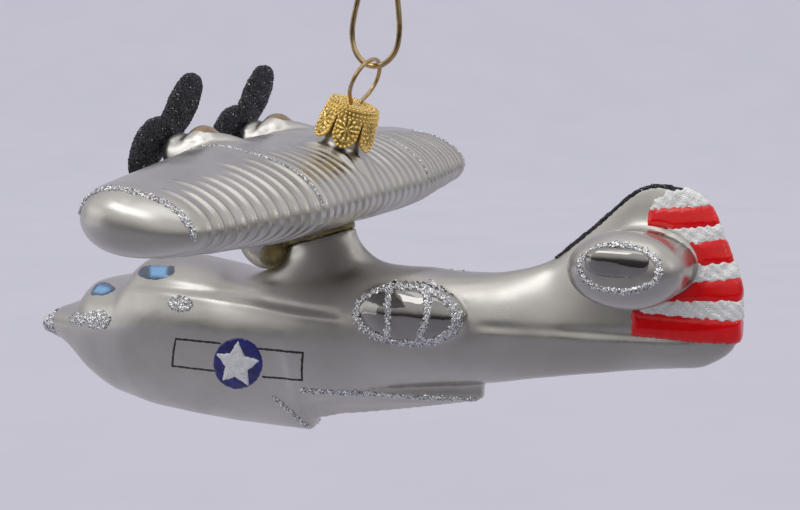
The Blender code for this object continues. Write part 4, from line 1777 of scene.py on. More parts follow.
    def skin(self) -> Skin:
        """Fuse the wing's shapes and soften the places where they meet.

        Returns:
            The skin, still without ribs.
        """
        parts = [
            loft(self.rings()), *(self.nacelle(side) for side in BOTH_SIDES), self.saddle(),
            self.lobe(), self.neck(),
        ]
        glass = melt(parts, self.grain)
        glass.relax(self.EVEN, shrink=False)
        glass.relax(self.SHRINK)
        share = self.along_chord(glass.points)
        x, y, z = glass.points.T
        near = np.abs(np.abs(y) - self.engine_offset)
        foot = (near < 7.0) & (x < 0.0) & (z > 4.0) & (z < 9.5)
        under = (np.abs(y) < 6.5) & (z < -4.0) & (z > -8.0)
        glass.relax(self.SOFT, np.where(foot | under, 0.8, 0.0))
        glass.dent(0.05, 13.0, 7.0)
        return glass

    def rib_share(self, glass: Skin) -> Array:
        """How fully a rib is raised at each point.

        Args:
            glass: Skin of the wing.

        Returns:
            Shares from 0 to 1.
        """
        x, y, z = glass.points.T
        rib = np.round(y / self.rib_pitch - 0.5)
        outboard = smooth_step(20.0, 44.0, -y)
        start = self.rib_start + 0.10 * np.sin(rib * 2.7) + 0.07 * np.sin(rib * 1.3 + 1.0)
        start = start + 0.10 * outboard
        share = smooth_step(start, start + 0.34, self.along_chord(glass.points))
        share *= 0.86 + 0.14 * np.sin(rib * 4.1 + 0.12 * x)
        share *= 1.0 - smooth_step(self.ribs_end - 3.0 * (y > 0), self.ribs_end + 2.5, np.abs(y))
        lump = (np.abs(y) < 5.2) & (z < -4.5) & (x < 9.5)
        local = glass.points - NECK_FOOT
        round_neck = smooth_step(4.3, 5.2, np.hypot(local[:, 0] + 0.6, local[:, 1]))
        share *= np.where(z > 0.0, round_neck, 1.0)
        return np.where(lump, 0.0, share)

    def build(self, shop: Workshop) -> Skin:
        """Build the wing's piece.

        Args:
            shop: Shared trees and finishes.

        Returns:
            The ribbed skin, for the coats that lie on it.
        """
        glass = self.skin()
        share = self.rib_share(glass)
        self.open_neck(glass)
        satin = shop.looks["satin_silver"]
        obj = glass.object("wing_blown_glass", satin)
        write_values(obj.data, "rib_share", share)
        pitch, height = self.rib_pitch * MM, self.rib_height * MM
        exchange(obj, shop.ribs.run(obj, Finish=satin, Pitch=pitch, Height=height))
        points = ornament_places(obj.data)
        lining = self.neck_lining().object("lining", satin)
        weld(lining)
        add_to(obj, lining.data.copy())
        drop(lining)
        tidy_loose(obj)
        finish_piece(obj, Body.GLASS, "wing_silver", "wing_glass")
        return Skin(points, glass.faces)


def tidy_loose(obj: Object) -> None:
    """Remove points that no face uses.

    Args:
        obj: Mesh object.
    """
    bm = bmesh.new()
    bm.from_mesh(obj.data)
    bmesh.ops.delete(bm, geom=[v for v in bm.verts if not v.link_faces], context="VERTS")
    bm.to_mesh(obj.data)
    bm.free()


# Coats on the hull and the wing


@dataclass
class Trim:
    """Glitter, mirror, lacquer and enamel on the glass.

    Attributes:
        hull: Skin of the hull.
        wing: Skin of the wing.
        shop: Shared trees and finishes.
    """

    hull: Skin
    wing: Skin
    shop: Workshop

    NOSE_TEARDROP = (
        (-50.9, -26.6), (-48.9, -25.4), (-45.9, -25.0), (-43.9, -24.4), (-42.2, -23.95),
        (-40.0, -23.95), (-38.6, -24.5), (-38.3, -25.4), (-39.2, -26.7), (-40.3, -27.4),
        (-43.7, -27.4), (-46.2, -27.3), (-49.1, -27.5),
    )
    BOW_WINDOW = (
        (-45.7, -21.5), (-45.7, -19.7), (-43.7, -19.3), (-41.4, -19.6), (-39.6, -20.1),
        (-41.9, -21.3), (-44.1, -21.5),
    )
    COCKPIT_WINDOW = (
        (-34.4, -16.4), (-34.0, -15.5), (-32.2, -15.1), (-28.4, -14.9), (-26.7, -15.0),
        (-25.9, -16.1), (-28.3, -17.1), (-31.2, -17.3), (-33.4, -17.0),
    )
    COCKPIT_PANE = ((-31.7, -15.3), (-28.1, -15.0), (-27.0, -16.5), (-30.4, -16.6))
    BOW_PANE = ((-44.9, -20.9), (-44.6, -20.0), (-42.2, -20.0), (-41.0, -20.3), (-42.4, -20.9))
    STUB_ROOT = Oval(centre=(62.2, -9.4), reach=(9.5, 6.3))
    DISC = (
        (-9.2, -25.9), (-5.8, -27.0), (-5.0, -30.5), (-7.6, -34.4), (-11.9, -36.3), (-15.1, -35.1),
        (-15.4, -31.4), (-13.1, -27.6),
    )
    STAR_TIPS = ((-9.1, -26.5), (-5.6, -29.8), (-9.1, -34.9), (-14.0, -34.3), (-13.8, -29.3))
    BAR_LEFT = ((-13.1, -27.2), (-22.6, -27.2), (-24.7, -32.8), (-15.6, -32.9))
    BAR_RIGHT = ((-5.2, -27.6), (3.5, -27.7), (2.4, -33.0), (-5.7, -33.2))
    STEP_LINE = ((-4.9, -37.6), (-2.7, -40.4), (-1.3, -43.5))
    CHINE_LINE = ((1.4, -35.3), (10.2, -35.3), (18.9, -35.5), (25.8, -35.6), (31.6, -35.6))
    BAR_FRONT = ((19.1, -15.2), (19.7, -16.1), (20.1, -18.5), (20.1, -21.4), (19.4, -24.5))
    BAR_BACK = (
        (25.2, -15.0), (26.2, -15.6), (27.2, -17.1), (27.2, -19.7), (26.1, -22.6), (25.4, -24.0),
    )
    FIN_EDGE = (
        (46.4, -9.1), (49.6, -6.5), (53.9, -2.8), (57.6, 0.6), (60.9, 3.0), (64.3, 3.8),
        (69.2, 2.9),
    )
    NOSE_NUB = ((-64.0, -22.0), (-57.4, -22.0), (-56.4, -34.0), (-64.0, -34.0))

    # raised mirror oval on a stub's end
    LENS_REACH = (5.35, 2.5)
    LENS_FOOT, LENS_HEIGHT = 15.7, 1.4
    LENS_PLACE = (62.1, 0.0, -7.6)

    # the top stripe, then the stripes' fronts and the heights of their borders, front and back
    RUDDER_TOP = ((63.9, 0.9), (66.0, 2.4), (70.6, 3.3), (82.0, 3.3), (82.0, 1.2), (63.4, -0.6))
    RUDDER_BACK = 82.0
    RUDDER_FRONTS = (63.2, 64.0, 64.4, 64.4, 63.0, 62.4, 61.4)
    BORDERS = (
        (-0.6, 1.2), (-3.9, -1.6), (-6.4, -4.3), (-10.0, -7.8), (-12.9, -10.7), (-15.5, -14.5),
        (-17.5, -18.2), (-21.1, -21.7),
    )

    # rounding, wobble, thickness, edge and lumps of a stripe
    RED_LAYER = (0.5, 0.12, 0.75, 1.5, 0.0)
    WHITE_LAYER = (0.3, 0.3, 0.66, 0.8, 0.25)

    # name, distance from the centre plane, width, density, flake radius, thickness
    WING_LINES = (
        ("wing_tip_glitter", 53.2, 0.95, 15.0, 0.18, 0.24),
        ("wing_station_glitter", 21.5, 0.5, 13.0, 0.14, 0.16),
    )

    def twice(self, coat: Coat) -> Skin:
        """Lay a coat on both sides of the hull."""
        return joined([coat.lay(self.hull, side) for side in BOTH_SIDES])

    def paint(self, name: str, skin: Skin, look: str, slot: str = "hull_silver") -> Object:
        """Make a piece of a coat.

        Args:
            name: Name of the piece.
            skin: The coat's skin.
            look: Its finish.
            slot: Material slot of the glass that it lies on.

        Returns:
            The piece.
        """
        obj = skin.object(name, self.shop.looks[look])
        finish_piece(obj, Body.GLASS, slot)
        return obj

    def glitter(
        self, name: str, skin: Skin, kind: str, slot: str = "hull_silver", **grains: float
    ) -> None:
        """Make a piece of a coat with flakes stuck on it.

        Args:
            name: Name of the piece.
            skin: Skin of the glue bed.
            kind: Kind of glitter.
            slot: Material slot of the glass that it lies on.
            grains: Density, radius and seed of the flakes.
        """
        obj = skin.object(name, self.shop.looks[kind + "_bed"])
        self.shop.sprinkle(obj, kind, **grains)
        finish_piece(obj, Body.GLASS, slot)

    def hull_glitter(self) -> None:
        """Silver glitter on the nose and along the steps."""
        rows = (
            ("nose_patch", Patch(outline=self.NOSE_TEARDROP, curved=True, wobble=0.12, seed=2.0)),
            ("side_patch", Oval(centre=(-22.0, -20.8), reach=(2.65, 1.4), wobble=0.12, seed=3.0)),
            ("step_line", Stroke(route=self.STEP_LINE, width=0.85, wobble=0.25, seed=4.0)),
            ("chine_line", Stroke(route=self.CHINE_LINE, width=0.7, wobble=0.25, seed=5.0)),
        )
        for number, (name, region) in enumerate(rows):
            coat = Coat(region, turn_away=0.1, thickness=0.3)
            self.glitter(name + "_glitter", self.twice(coat), "silver", seed=number)
        nub = Patch(outline=self.NOSE_NUB)
        coat = Coat(nub, facing=(-1.0, 0.0, 0.0), turn_away=-0.5, thickness=0.12, lumps=0.4)
        self.glitter("nose_nub_glitter", coat.lay(self.hull), "silver", seed=9)

    def blisters(self, hull: HullGlass) -> None:
        """Mirror faces of the waist blisters inside a glitter ring and two bars.

        Args:
            hull: The hull's sizes.
        """
        inside = Oval(centre=(22.5, -19.75), reach=(8.7, 4.4), wobble=0.2, seed=9.0)
        outside = Oval(centre=(22.55, -19.95), reach=(10.0, 5.3), wobble=0.25, seed=6.0)
        ring = Several(
            regions=(
                Less(whole=outside, hole=inside),
                Stroke(route=self.BAR_FRONT, width=1.25, wobble=0.2, seed=7.0),
                Stroke(route=self.BAR_BACK, width=1.25, wobble=0.2, seed=8.0),
            )
        )
        skin = self.twice(Coat(ring, turn_away=0.1, thickness=0.34))
        self.glitter("blister_glitter", skin, "silver", seed=11)
        face = Oval(centre=(22.5, -19.8), reach=(9.2, 4.7))
        coat = Coat(face, turn_away=0.1, thickness=0.06, edge=0.2, lumps=0.0)
        faces = [self.polished(coat.lay(self.hull, side), hull, side) for side in BOTH_SIDES]
        self.paint("blister_mirror", joined(faces), "mirror_glass")

    @staticmethod
    def polished(skin: Skin, hull: HullGlass, side: Side) -> Skin:
        """Move a mirror's points onto the blister's true curve.

        Args:
            skin: Skin of the mirror.
            hull: The hull's sizes.
            side: Side of the hull.

        Returns:
            The smoothed skin.
        """
        centre = np.array(hull.blister_centre)
        reach = np.array(hull.blister_reach)
        flat = (skin.points[:, [0, 2]] - centre[[0, 2]]) / reach[[0, 2]]
        dome = centre[1] + reach[1] * np.sqrt(np.clip(1.0 - (flat**2).sum(axis=1), 0.0, 1.0))
        middle = 1.0 - smooth_step(0.55, 0.95, np.linalg.norm(flat, axis=1))
        out = np.abs(skin.points[:, 1])
        out = out + (np.maximum(dome + 0.02, out) - out) * middle
        skin.points[:, 1] = side.value * out
        skin.relax(12)
        return skin

    def stub_ends(self) -> None:
        """Glitter ring and raised mirror oval on the ends of the tailplane stubs."""
        ring = Ring(centre=(62.4, -8.45), reach=(6.6, 3.65), width=0.9, wobble=0.2, seed=12.0)
        skin = self.twice(Coat(ring, turn_away=0.1, half_width=20.0))
        self.glitter("stub_ring_glitter", skin, "silver", density=20.0, seed=13)
        share = np.sin(np.linspace(0.02, math.pi / 2, 22))
        rings = oval(72, self.LENS_REACH[0] * share, self.LENS_REACH[1] * share, 3.0)
        bulge = self.LENS_FOOT + self.LENS_HEIGHT * np.sqrt(np.clip(1.0 - share**3, 0.0, 1.0))
        lenses = [stand(rings, side.value * bulge, 1) + self.LENS_PLACE for side in BOTH_SIDES]
        mirrors = joined([loft(lens) for lens in lenses])
        weld(self.paint("stub_mirror", mirrors, "mirror_glass"))

    def windows(self) -> None:
        """Blue lacquer on the bow and cockpit windows, lighter inside each pane."""
        window = Several(
            regions=(
                Patch(outline=self.BOW_WINDOW, curved=True, wobble=0.05, seed=14.0),
                Patch(outline=self.COCKPIT_WINDOW, curved=True, wobble=0.06, seed=15.0),
            )
        )
        panes = Several(regions=(Patch(outline=self.BOW_PANE), Patch(outline=self.COCKPIT_PANE)))
        skin = self.twice(Coat(window, turn_away=0.05, thickness=0.16, edge=0.5, splits=2))
        obj = self.paint("window_lacquer", skin, "window_blue")
        depth = panes.depth(skin.points[:, View.SIDE.value])
        write_values(obj.data, "inset", smooth_step(-0.6, 0.3, depth))

    def roundel(self) -> None:
        """Blue disc with a frosted star between two outlined bars."""
        bars = Several(
            regions=(
                Stroke(route=self.BAR_LEFT, width=0.46, curved=False, wobble=0.05, seed=16.0),
                Stroke(route=self.BAR_RIGHT, width=0.46, curved=False, wobble=0.05, seed=17.0),
            )
        )
        coat = Coat(bars, turn_away=0.2, thickness=0.05, edge=0.12, splits=2)
        self.paint("bar_outlines", self.twice(coat), "ink")
        disc = Patch(outline=self.DISC, curved=True, wobble=0.06, seed=18.0)
        coat = Coat(disc, turn_away=0.2, thickness=0.28, edge=0.6, splits=2)
        self.paint("roundel_disc", self.twice(coat), "blue_enamel")
        outline = star_outline(self.STAR_TIPS, 0.32)
        star = Patch(outline=outline, rounding=0.2, wobble=0.07, seed=19.0)
        coat = Coat(star, turn_away=0.2, thickness=0.58, edge=0.4, splits=2)
        self.glitter("roundel_star", self.twice(coat), "frost", density=14.0, radius=0.10, seed=20)

    def rudder(self) -> None:
        """Eight enamel stripes round the rudder and the black line up the fin."""
        back = self.RUDDER_BACK
        outlines = [self.RUDDER_TOP]
        for front, upper, lower in zip(self.RUDDER_FRONTS, self.BORDERS, self.BORDERS[1:]):
            outlines.append(
                ((front, upper[0]), (back, upper[1]), (back, lower[1]), (front, lower[0]))
            )
        for number, outline in enumerate(outlines):
            red = number % 2 == 1
            rounding, wobble, thickness, edge, lumps = self.RED_LAYER if red else self.WHITE_LAYER
            stripe = Patch(outline=outline, rounding=rounding, wobble=wobble, seed=21.0 + number)
            coat = Coat(
                Less(whole=stripe, hole=self.STUB_ROOT), facing=(1.0, 0.0, 0.0), turn_away=-0.7,
                half_width=4.4, thickness=thickness, edge=edge, lumps=lumps,
            )
            skin = coat.lay(self.hull)
            label = number // 2 + 1
            if red:
                self.paint("rudder_red_%d" % label, skin, "red_enamel")
            else:
                grains = {"density": 6.0, "radius": 0.12, "seed": 30 + number}
                self.glitter("rudder_white_%d" % label, skin, "frost", **grains)
        edge = Stroke(route=self.FIN_EDGE, width=1.5, wobble=0.08, seed=40.0)
        coat = Coat(edge, facing=(-0.7, 0.0, 0.7), turn_away=-0.2, half_width=4.0, thickness=0.2)
        grains = {"density": 16.0, "radius": 0.10, "seed": 41}
        self.glitter("fin_edge_glitter", coat.lay(self.hull), "black", **grains)

    @staticmethod
    def mirrored(skin: Skin, side: Side) -> Skin:
        """The skin itself, or its mirror image for the port side."""
        faces = skin.faces[:, ::-1] if side is Side.PORT else skin.faces
        return Skin(skin.points * (1.0, side.value, 1.0), faces)

    def wing_lines(self, wing: WingGlass) -> None:
        """Glitter lines across the wing and a tan painted reflection on the crests of the nacelles.

        Args:
            wing: The wing's sizes.
        """
        for number, (name, reach, width, density, radius, thickness) in enumerate(self.WING_LINES):
            route = ((-30.0, reach), (-10.0, reach), (12.5, reach))
            coat = Coat(
                Stroke(route=route, width=width, wobble=0.15, seed=42.0 + number), view=View.PLAN,
                facing=(0.25, 0.0, 1.0), turn_away=-0.12, thickness=thickness, splits=2,
            )
            skins = [
                self.mirrored(coat.lay(self.mirrored(self.wing, side)), side) for side in BOTH_SIDES
            ]
            grains = {"density": density, "radius": radius, "seed": 50 + number}
            self.glitter(name, joined(skins), "silver", "wing_silver", **grains)
        # tan painted reflection on each nacelle's crest
        crests = Several(
            regions=tuple(
                Oval(centre=(-15.2, side.value * wing.engine_offset), reach=(2.7, 2.2), wobble=0.2)
                for side in BOTH_SIDES
            )
        )
        coat = Coat(
            crests, view=View.PLAN, facing=(0.0, 0.0, 1.0), turn_away=0.3, thickness=0.1, splits=2
        )
        self.paint("nacelle_crest_painted_reflection", coat.lay(self.wing), "tan_painted_reflection", "wing_silver")

    def build(self, hull: HullGlass, wing: WingGlass) -> None:
        """Lay every coat.

        Args:
            hull: The hull's sizes.
            wing: The wing's sizes.
        """
        self.hull_glitter()
        self.blisters(hull)
        self.stub_ends()
        self.windows()
        self.roundel()
        self.rudder()
        self.wing_lines(wing)


# Propellers and glue


@dataclass
class Propeller:
    """Two thick paddles in one piece, rough with black glitter.

    Attributes:
        label: Side in the piece's name.
        side: Side of the wing.
        hub: Place of the hub.
        lean: How far the blades lean, in degrees.
    """

    label: str
    side: Side
    hub: tuple[float, float] = (-23.3, 10.4)
    lean: float = 52.0
    grain: float = 0.26

    # distance from the hub, half-width, half-thickness, middle line's place sideways and forward
    UPPER = np.array([
        (-1.6, 0.9, 0.5, -0.8, 0.2), (-1.0, 2.2, 1.1, -0.6, 0.2), (0.9, 3.1, 1.4, -0.2, 0.2),
        (3.8, 3.5, 1.3, -0.2, 0.1), (6.5, 3.9, 1.25, -0.25, 0.0), (9.0, 3.9, 1.2, -0.3, 0.0),
        (11.1, 3.65, 1.15, -0.4, 0.0), (13.0, 3.0, 1.0, -0.3, 0.0), (14.4, 1.95, 0.8, -0.1, 0.0),
        (15.1, 1.1, 0.5, 0.1, 0.0), (15.35, 0.4, 0.2, 0.2, 0.0),
    ])
    LOWER = np.array([
        (-12.4, 0.4, 0.2, -2.4, -0.2), (-12.0, 1.1, 0.5, -2.4, -0.2), (-10.8, 2.0, 0.8, -2.4, -0.2),
        (-8.6, 3.2, 1.1, -2.2, -0.3), (-5.6, 4.1, 1.3, -1.95, -0.3), (-2.9, 4.0, 1.45, -1.7, -0.3),
        (-0.4, 3.0, 1.45, -1.6, -0.2), (1.2, 2.2, 1.2, -1.3, -0.1), (2.0, 1.2, 0.8, -1.1, -0.1),
        (2.3, 0.4, 0.2, -1.0, -0.1),
    ])

    @staticmethod
    def paddle(table: Array) -> Skin:
        """One paddle along its own axis.

        Args:
            table: The paddle's rows from its lower end up.

        Returns:
            The closed skin.
        """
        low, high = table[0, 0], table[-1, 0]
        reach = (low + high) / 2 - (high - low) / 2 * np.cos(np.linspace(0.0, math.pi, 64))
        wide, thick, sideways, forward = read(table, reach).T
        rings = oval(56, thick, wide, 2.2) + np.stack([forward, sideways], axis=-1)[:, None]
        return loft(stand(rings, reach, 2))

    def build(self, wing: WingGlass, shop: Workshop) -> None:
        """Build and dress the propeller.

        Args:
            wing: The wing's sizes.
            shop: Shared trees and finishes.
        """
        blades = melt([self.paddle(self.UPPER), self.paddle(self.LOWER)], self.grain)
        blades.relax(2, shrink=False)
        turn = rotation("X", -math.radians(self.lean))
        place = np.array((self.hub[0], self.side.value * wing.engine_offset, self.hub[1]))
        blades.points = wing.rolled(blades.points @ turn.T + place)
        blades.dent(0.07, 2.4, 3.0)
        obj = blades.object("propeller_%s_glitter" % self.label, shop.looks["black_bed"])
        weld(obj)
        seed = 60 + int(self.side.value)
        shop.sprinkle(obj, "black", density=9.0, radius=0.15, seed=seed, tilt=0.7)
        finish_piece(obj, Body.GLASS, "propeller_black", "propeller_" + self.label)


@dataclass
class GlueSeam:
    """Amber glue that oozed out between pylon and wing, darkened with painted shade.

    Attributes:
        thickness: Height of the glue.
        ooze: How far it stands out of the joint.
    """

    thickness: float = 1.3
    ooze: float = 0.3

    # where the glue filled the corner between the belly lobe and the pylon; the dark lump also
    # stands in as painted shade for that shadowed corner
    BLOB_CENTRE = (-8.2, 0.0, -12.0)
    BLOB_REACH = (3.4, 4.5, 3.5)

    def build(self, wing: WingGlass, shop: Workshop) -> None:
        """Build and dress the glue.

        Args:
            wing: The wing's sizes, for the seat.
            shop: Shared finishes.
        """
        turn, middle, half = wing.seat_frame()
        rings = []
        for share in np.linspace(-1.0, 1.0, 15):
            bulge = math.sqrt(max(0.0, 1.0 - share**2))
            flat = oval(96, np.array([half]), np.array([wing.SEAT_HALF_WIDTH]))[0]
            outward = flat / np.linalg.norm(flat, axis=1)[:, None]
            uneven = 0.65 + 0.5 * ripple(flat, 4.2, 2.0)
            flat = flat * 0.97 + outward * (self.ooze * bulge * uneven)[:, None]
            lift = share * self.thickness / 2 + 0.16 * ripple(flat, 3.0, 5.0)
            rings.append(np.column_stack([flat, lift]) @ turn.T + middle)
        blob = oval(48, *np.array(self.BLOB_REACH[:2])[:, None])[0]
        drops = []
        for angle in np.linspace(-math.pi / 2, math.pi / 2, 17):
            flat = blob * math.cos(angle)
            lift = np.full(len(flat), math.sin(angle) * self.BLOB_REACH[2])
            drops.append(np.column_stack([flat, lift]) @ turn.T + self.BLOB_CENTRE)
        seam = melt([loft(np.array(rings)), loft(np.array(drops))], 0.25)
        seam.relax(1)
        obj = seam.object("glue_seam", shop.looks["amber_glue"])
        weld(obj)
        finish_piece(obj, Body.GLASS, "glue_amber", "glue_bead")


# Cap, loop and hook


@dataclass
class CrownCap:
    """Thin embossed metal cap with a scalloped skirt."""

    height: float = 7.2
    rim_radius: float = 5.35
    top_radius: float = 4.55
    wall: float = 0.32
    lobes: int = 6
    first_lobe: float = -65.0
    slit_top: float = 0.2

    def skirt_point(self, angle: Array, drop_share: Array, raised: Array) -> Array:
        """Places on the skirt.

        Args:
            angle: Angle round the cap.
            drop_share: 0 at the skirt's top and 1 at its rim.
            raised: Height of the embossing.

        Returns:
            Places on the cap's own axis.
        """
        shoulder = self.height - 0.5
        radius = self.top_radius + (self.rim_radius - self.top_radius) * drop_share + raised
        z = shoulder * (1.0 - drop_share)
        return np.stack([radius * np.cos(angle), radius * np.sin(angle), z], axis=-1)

    def half_angle(self, drop_share: Array) -> Array:
        """Half the angle that a lobe spans at a place down the skirt.

        Args:
            drop_share: 0 at the skirt's top and 1 at its rim.

        Returns:
            Angles in radians.
        """
        whole = math.pi / self.lobes
        slit = smooth_step(self.slit_top, self.slit_top + 0.08, drop_share)
        open_slit = 0.028 * slit + 0.03 * smooth_step(0.3, 0.66, drop_share)
        past = np.clip((drop_share - 0.66) / 0.34, 0.0, 1.0)
        return (whole - open_slit) * (1.0 - past**1.8) ** (1 / 1.35)

    def emboss(self, across: Array, down: Array, drop_share: Array) -> Array:
        """Height of the flower on a lobe.

        Args:
            across: Millimetres from the lobe's middle line.
            down: Millimetres from the flower's centre.
            drop_share: Place down the skirt.

        Returns:
            Heights in millimetres.
        """
        away = np.hypot(across, down)
        turn = np.arctan2(down, across)
        rays = np.abs(np.cos(4 * turn)) ** 10 * smooth_step(0.05, 0.3, away)
        rays *= 1.0 - smooth_step(1.1, 1.5, away)
        petals = (0.5 + 0.5 * np.cos(12 * turn)) ** 1.5 * np.exp(-(((away - 1.75) / 0.32) ** 2))
        hub = np.exp(-((away / 0.22) ** 2))
        shown = smooth_step(0.10, 0.18, drop_share)
        dish = -0.10 * (1.0 - smooth_step(1.9, 2.3, away))
        return (0.34 * rays + 0.36 * petals + 0.24 * hub + dish) * shown

    def lobe(self, number: int) -> Skin:
        """One embossed lobe of the skirt.

        Args:
            number: Which lobe.

        Returns:
            The open skin.
        """
        columns, rows = 45, 64
        drop_share = np.linspace(0.0, 0.995, rows)[:, None]
        side = np.linspace(-1.0, 1.0, columns)[None, :]
        half = self.half_angle(drop_share)
        radius = self.top_radius + (self.rim_radius - self.top_radius) * drop_share
        offset = side * half
        down = (drop_share - 0.50) * (self.height - 0.5)
        raised = self.emboss(radius * offset, np.broadcast_to(down, offset.shape), drop_share)
        angle = math.radians(self.first_lobe) + number * 2 * math.pi / self.lobes + offset
        grid = self.skirt_point(angle, np.broadcast_to(drop_share, angle.shape), raised)
        return Skin(from_neck(grid.reshape(-1, 3)), grid_faces(rows, columns, closed=False))

    def top(self) -> Skin:
        """Top disc with its rounded shoulder, embossed with small stipples.

        Returns:
            The open skin.
        """
        count = self.lobes * 44
        turn = np.arange(count) * 2 * math.pi / count + math.radians(self.first_lobe)
        turn = turn - math.pi / self.lobes
        radius = np.concatenate([np.linspace(0.02, 4.05, 34), [4.2, 4.36, 4.48, 4.55]])
        z = np.concatenate([np.full(34, 7.2), [7.17, 7.07, 6.92, 6.7]])
        wave = np.cos(np.outer(radius, np.ones(count)) * 7.6) * np.cos(12 * turn)[None, :]
        fade = smooth_step(0.8, 1.4, radius) * (1.0 - smooth_step(3.9, 4.1, radius))
        lift = 0.16 * wave * fade[:, None]
        x, y = np.outer(radius, np.cos(turn)), np.outer(radius, np.sin(turn))
        grid = np.stack([x, y, z[:, None] + lift], axis=-1)
        faces = grid_faces(len(radius), count)[:, [0, 3, 2, 1]]
        return Skin(from_neck(grid.reshape(-1, 3)), faces)

    def bead_lines(self) -> list[Array]:
        """Lines round each lobe and the top that carry beads.

        Returns:
            The lines' points.
        """
        lines = []
        share = np.linspace(0.26, 0.965, 60)
        for number in range(self.lobes):
            middle = math.radians(self.first_lobe) + number * 2 * math.pi / self.lobes
            half = np.maximum(self.half_angle(share) - 0.055, 0.0)
            down = self.skirt_point(middle + half, share, np.full(60, 0.04))
            up = self.skirt_point(middle - half[::-1], share[::-1], np.full(60, 0.04))
            lines.append(from_neck(np.vstack([down, up])))
        return lines

    def circles(self) -> list[Array]:
        """Circles on the top disc and under the shoulder that carry beads.

        Returns:
            The circles' points.
        """
        turn = np.arange(96) * 2 * math.pi / 96
        rows = ((4.42, 7.02), (3.62, 7.22), (2.75, 7.22), (4.66, 6.25), (4.72, 5.55))
        circles = []
        for radius, z in rows:
            flat = np.stack([radius * np.cos(turn), radius * np.sin(turn)], axis=-1)
            circles.append(from_neck(np.column_stack([flat, np.full(96, z)])))
        return circles

    def mark_highs(self, obj: Object) -> None:
        """Note how high each point stands, from the hollows (0) to the embossed highs (1), which
        the gold's colour turns into painted shade in the hollows and a painted highlight on the
        highs.

        Args:
            obj: The finished cap.
        """
        local = to_neck(ornament_places(obj.data))
        drop_share = np.clip(1.0 - local[:, 2] / (self.height - 0.5), 0.0, 1.0)
        skirt = self.top_radius + (self.rim_radius - self.top_radius) * drop_share
        raised = np.maximum(np.hypot(local[:, 0], local[:, 1]) - skirt, local[:, 2] - self.height)
        # the gold reads this value as painted shade in the hollows and a painted highlight on the
        # highs
        write_values(obj.data, "high", smooth_step(-0.16, 0.16, raised))

    def build(self, shop: Workshop) -> None:
        """Build and dress the cap.

        Args:
            shop: Shared trees.
        """
        gold = shop.looks["embossed_gold"]
        sheet = joined([self.top(), *(self.lobe(number) for number in range(self.lobes))])
        obj = sheet.object("crown_cap_embossed", gold)
        weld(obj, 0.02)
        wall = obj.modifiers.new("wall", "SOLIDIFY")
        wall.thickness = self.wall * MM
        wall.offset = -1.0
        exchange(obj, applied(obj, wall))
        for lines, closed, pitch, radius in (
            (self.bead_lines(), False, 0.74, 0.30), (self.circles(), True, 0.72, 0.27),
        ):
            source = line_object(lines, closed)
            beads = shop.beads.run(source, Finish=gold, Pitch=pitch * MM, Bead_Radius=radius * MM)
            drop(source)
            add_to(obj, beads)
        self.mark_highs(obj)
        finish_piece(obj, Body.CAP, "cap_gold", "crown_cap")


@dataclass
class WireLoop:
    """Wire loop across the cap, whose legs spring out inside the neck."""

    wire: float = 0.75
    half_width: float = 4.9
    half_height: float = 4.2
    centre: float = 11.75
    lean: float = 3.0
    leg_spacing: float = 4.0
    leg_spread: float = 2.2
    leg_end: float = -3.5

    def rise(self, across: Array, height: Array, cap: CrownCap) -> Array:
        """Places on the loop, which leans a little more aft above the cap.

        Args:
            across: Distance to starboard.
            height: Height above the cap's rim.
            cap: The cap's sizes.

        Returns:
            Places on the cap's own axis.
        """
        above = np.maximum(0.0, height - cap.height)
        tilt = math.radians(self.lean)
        height = height - (1 - math.cos(tilt)) * above
        return np.stack([math.sin(tilt) * above, across, height], axis=-1)

    def top(self, cap: CrownCap) -> Array:
        """Centre of the wire at the loop's top, from the wing centre."""
        peak = np.array([self.centre + self.half_height])
        return from_neck(self.rise(np.zeros(1), peak, cap))[0]

    def build(self, cap: CrownCap, shop: Workshop) -> None:
        """Build and dress the loop.

        Args:
            cap: The cap that it stands on.
            shop: Shared trees and finishes.
        """
        half = self.leg_spacing / 2
        start = math.asin(half / self.half_width)
        turn = np.linspace(start, 2 * math.pi - start, 49)
        height = self.centre - self.half_height * np.cos(turn)
        arc = np.stack([self.half_width * np.sin(turn), height], axis=-1)
        leg = [(self.leg_spread, self.leg_end), (self.leg_spread, 0.5)]
        leg = np.array([*leg, (half + 0.1, 3.8), (half, 5.9), (half, 7.4)])
        knots = np.vstack([leg, arc[2:-2], leg[::-1] * (-1.0, 1.0)])
        route = thread(knots, 260)
        points = from_neck(self.rise(route[:, 0], route[:, 1], cap))
        obj = shop.wire("loop_wire_round", points, self.wire)
        finish_piece(obj, Body.CAP, "loop_wire", "cap_loop")


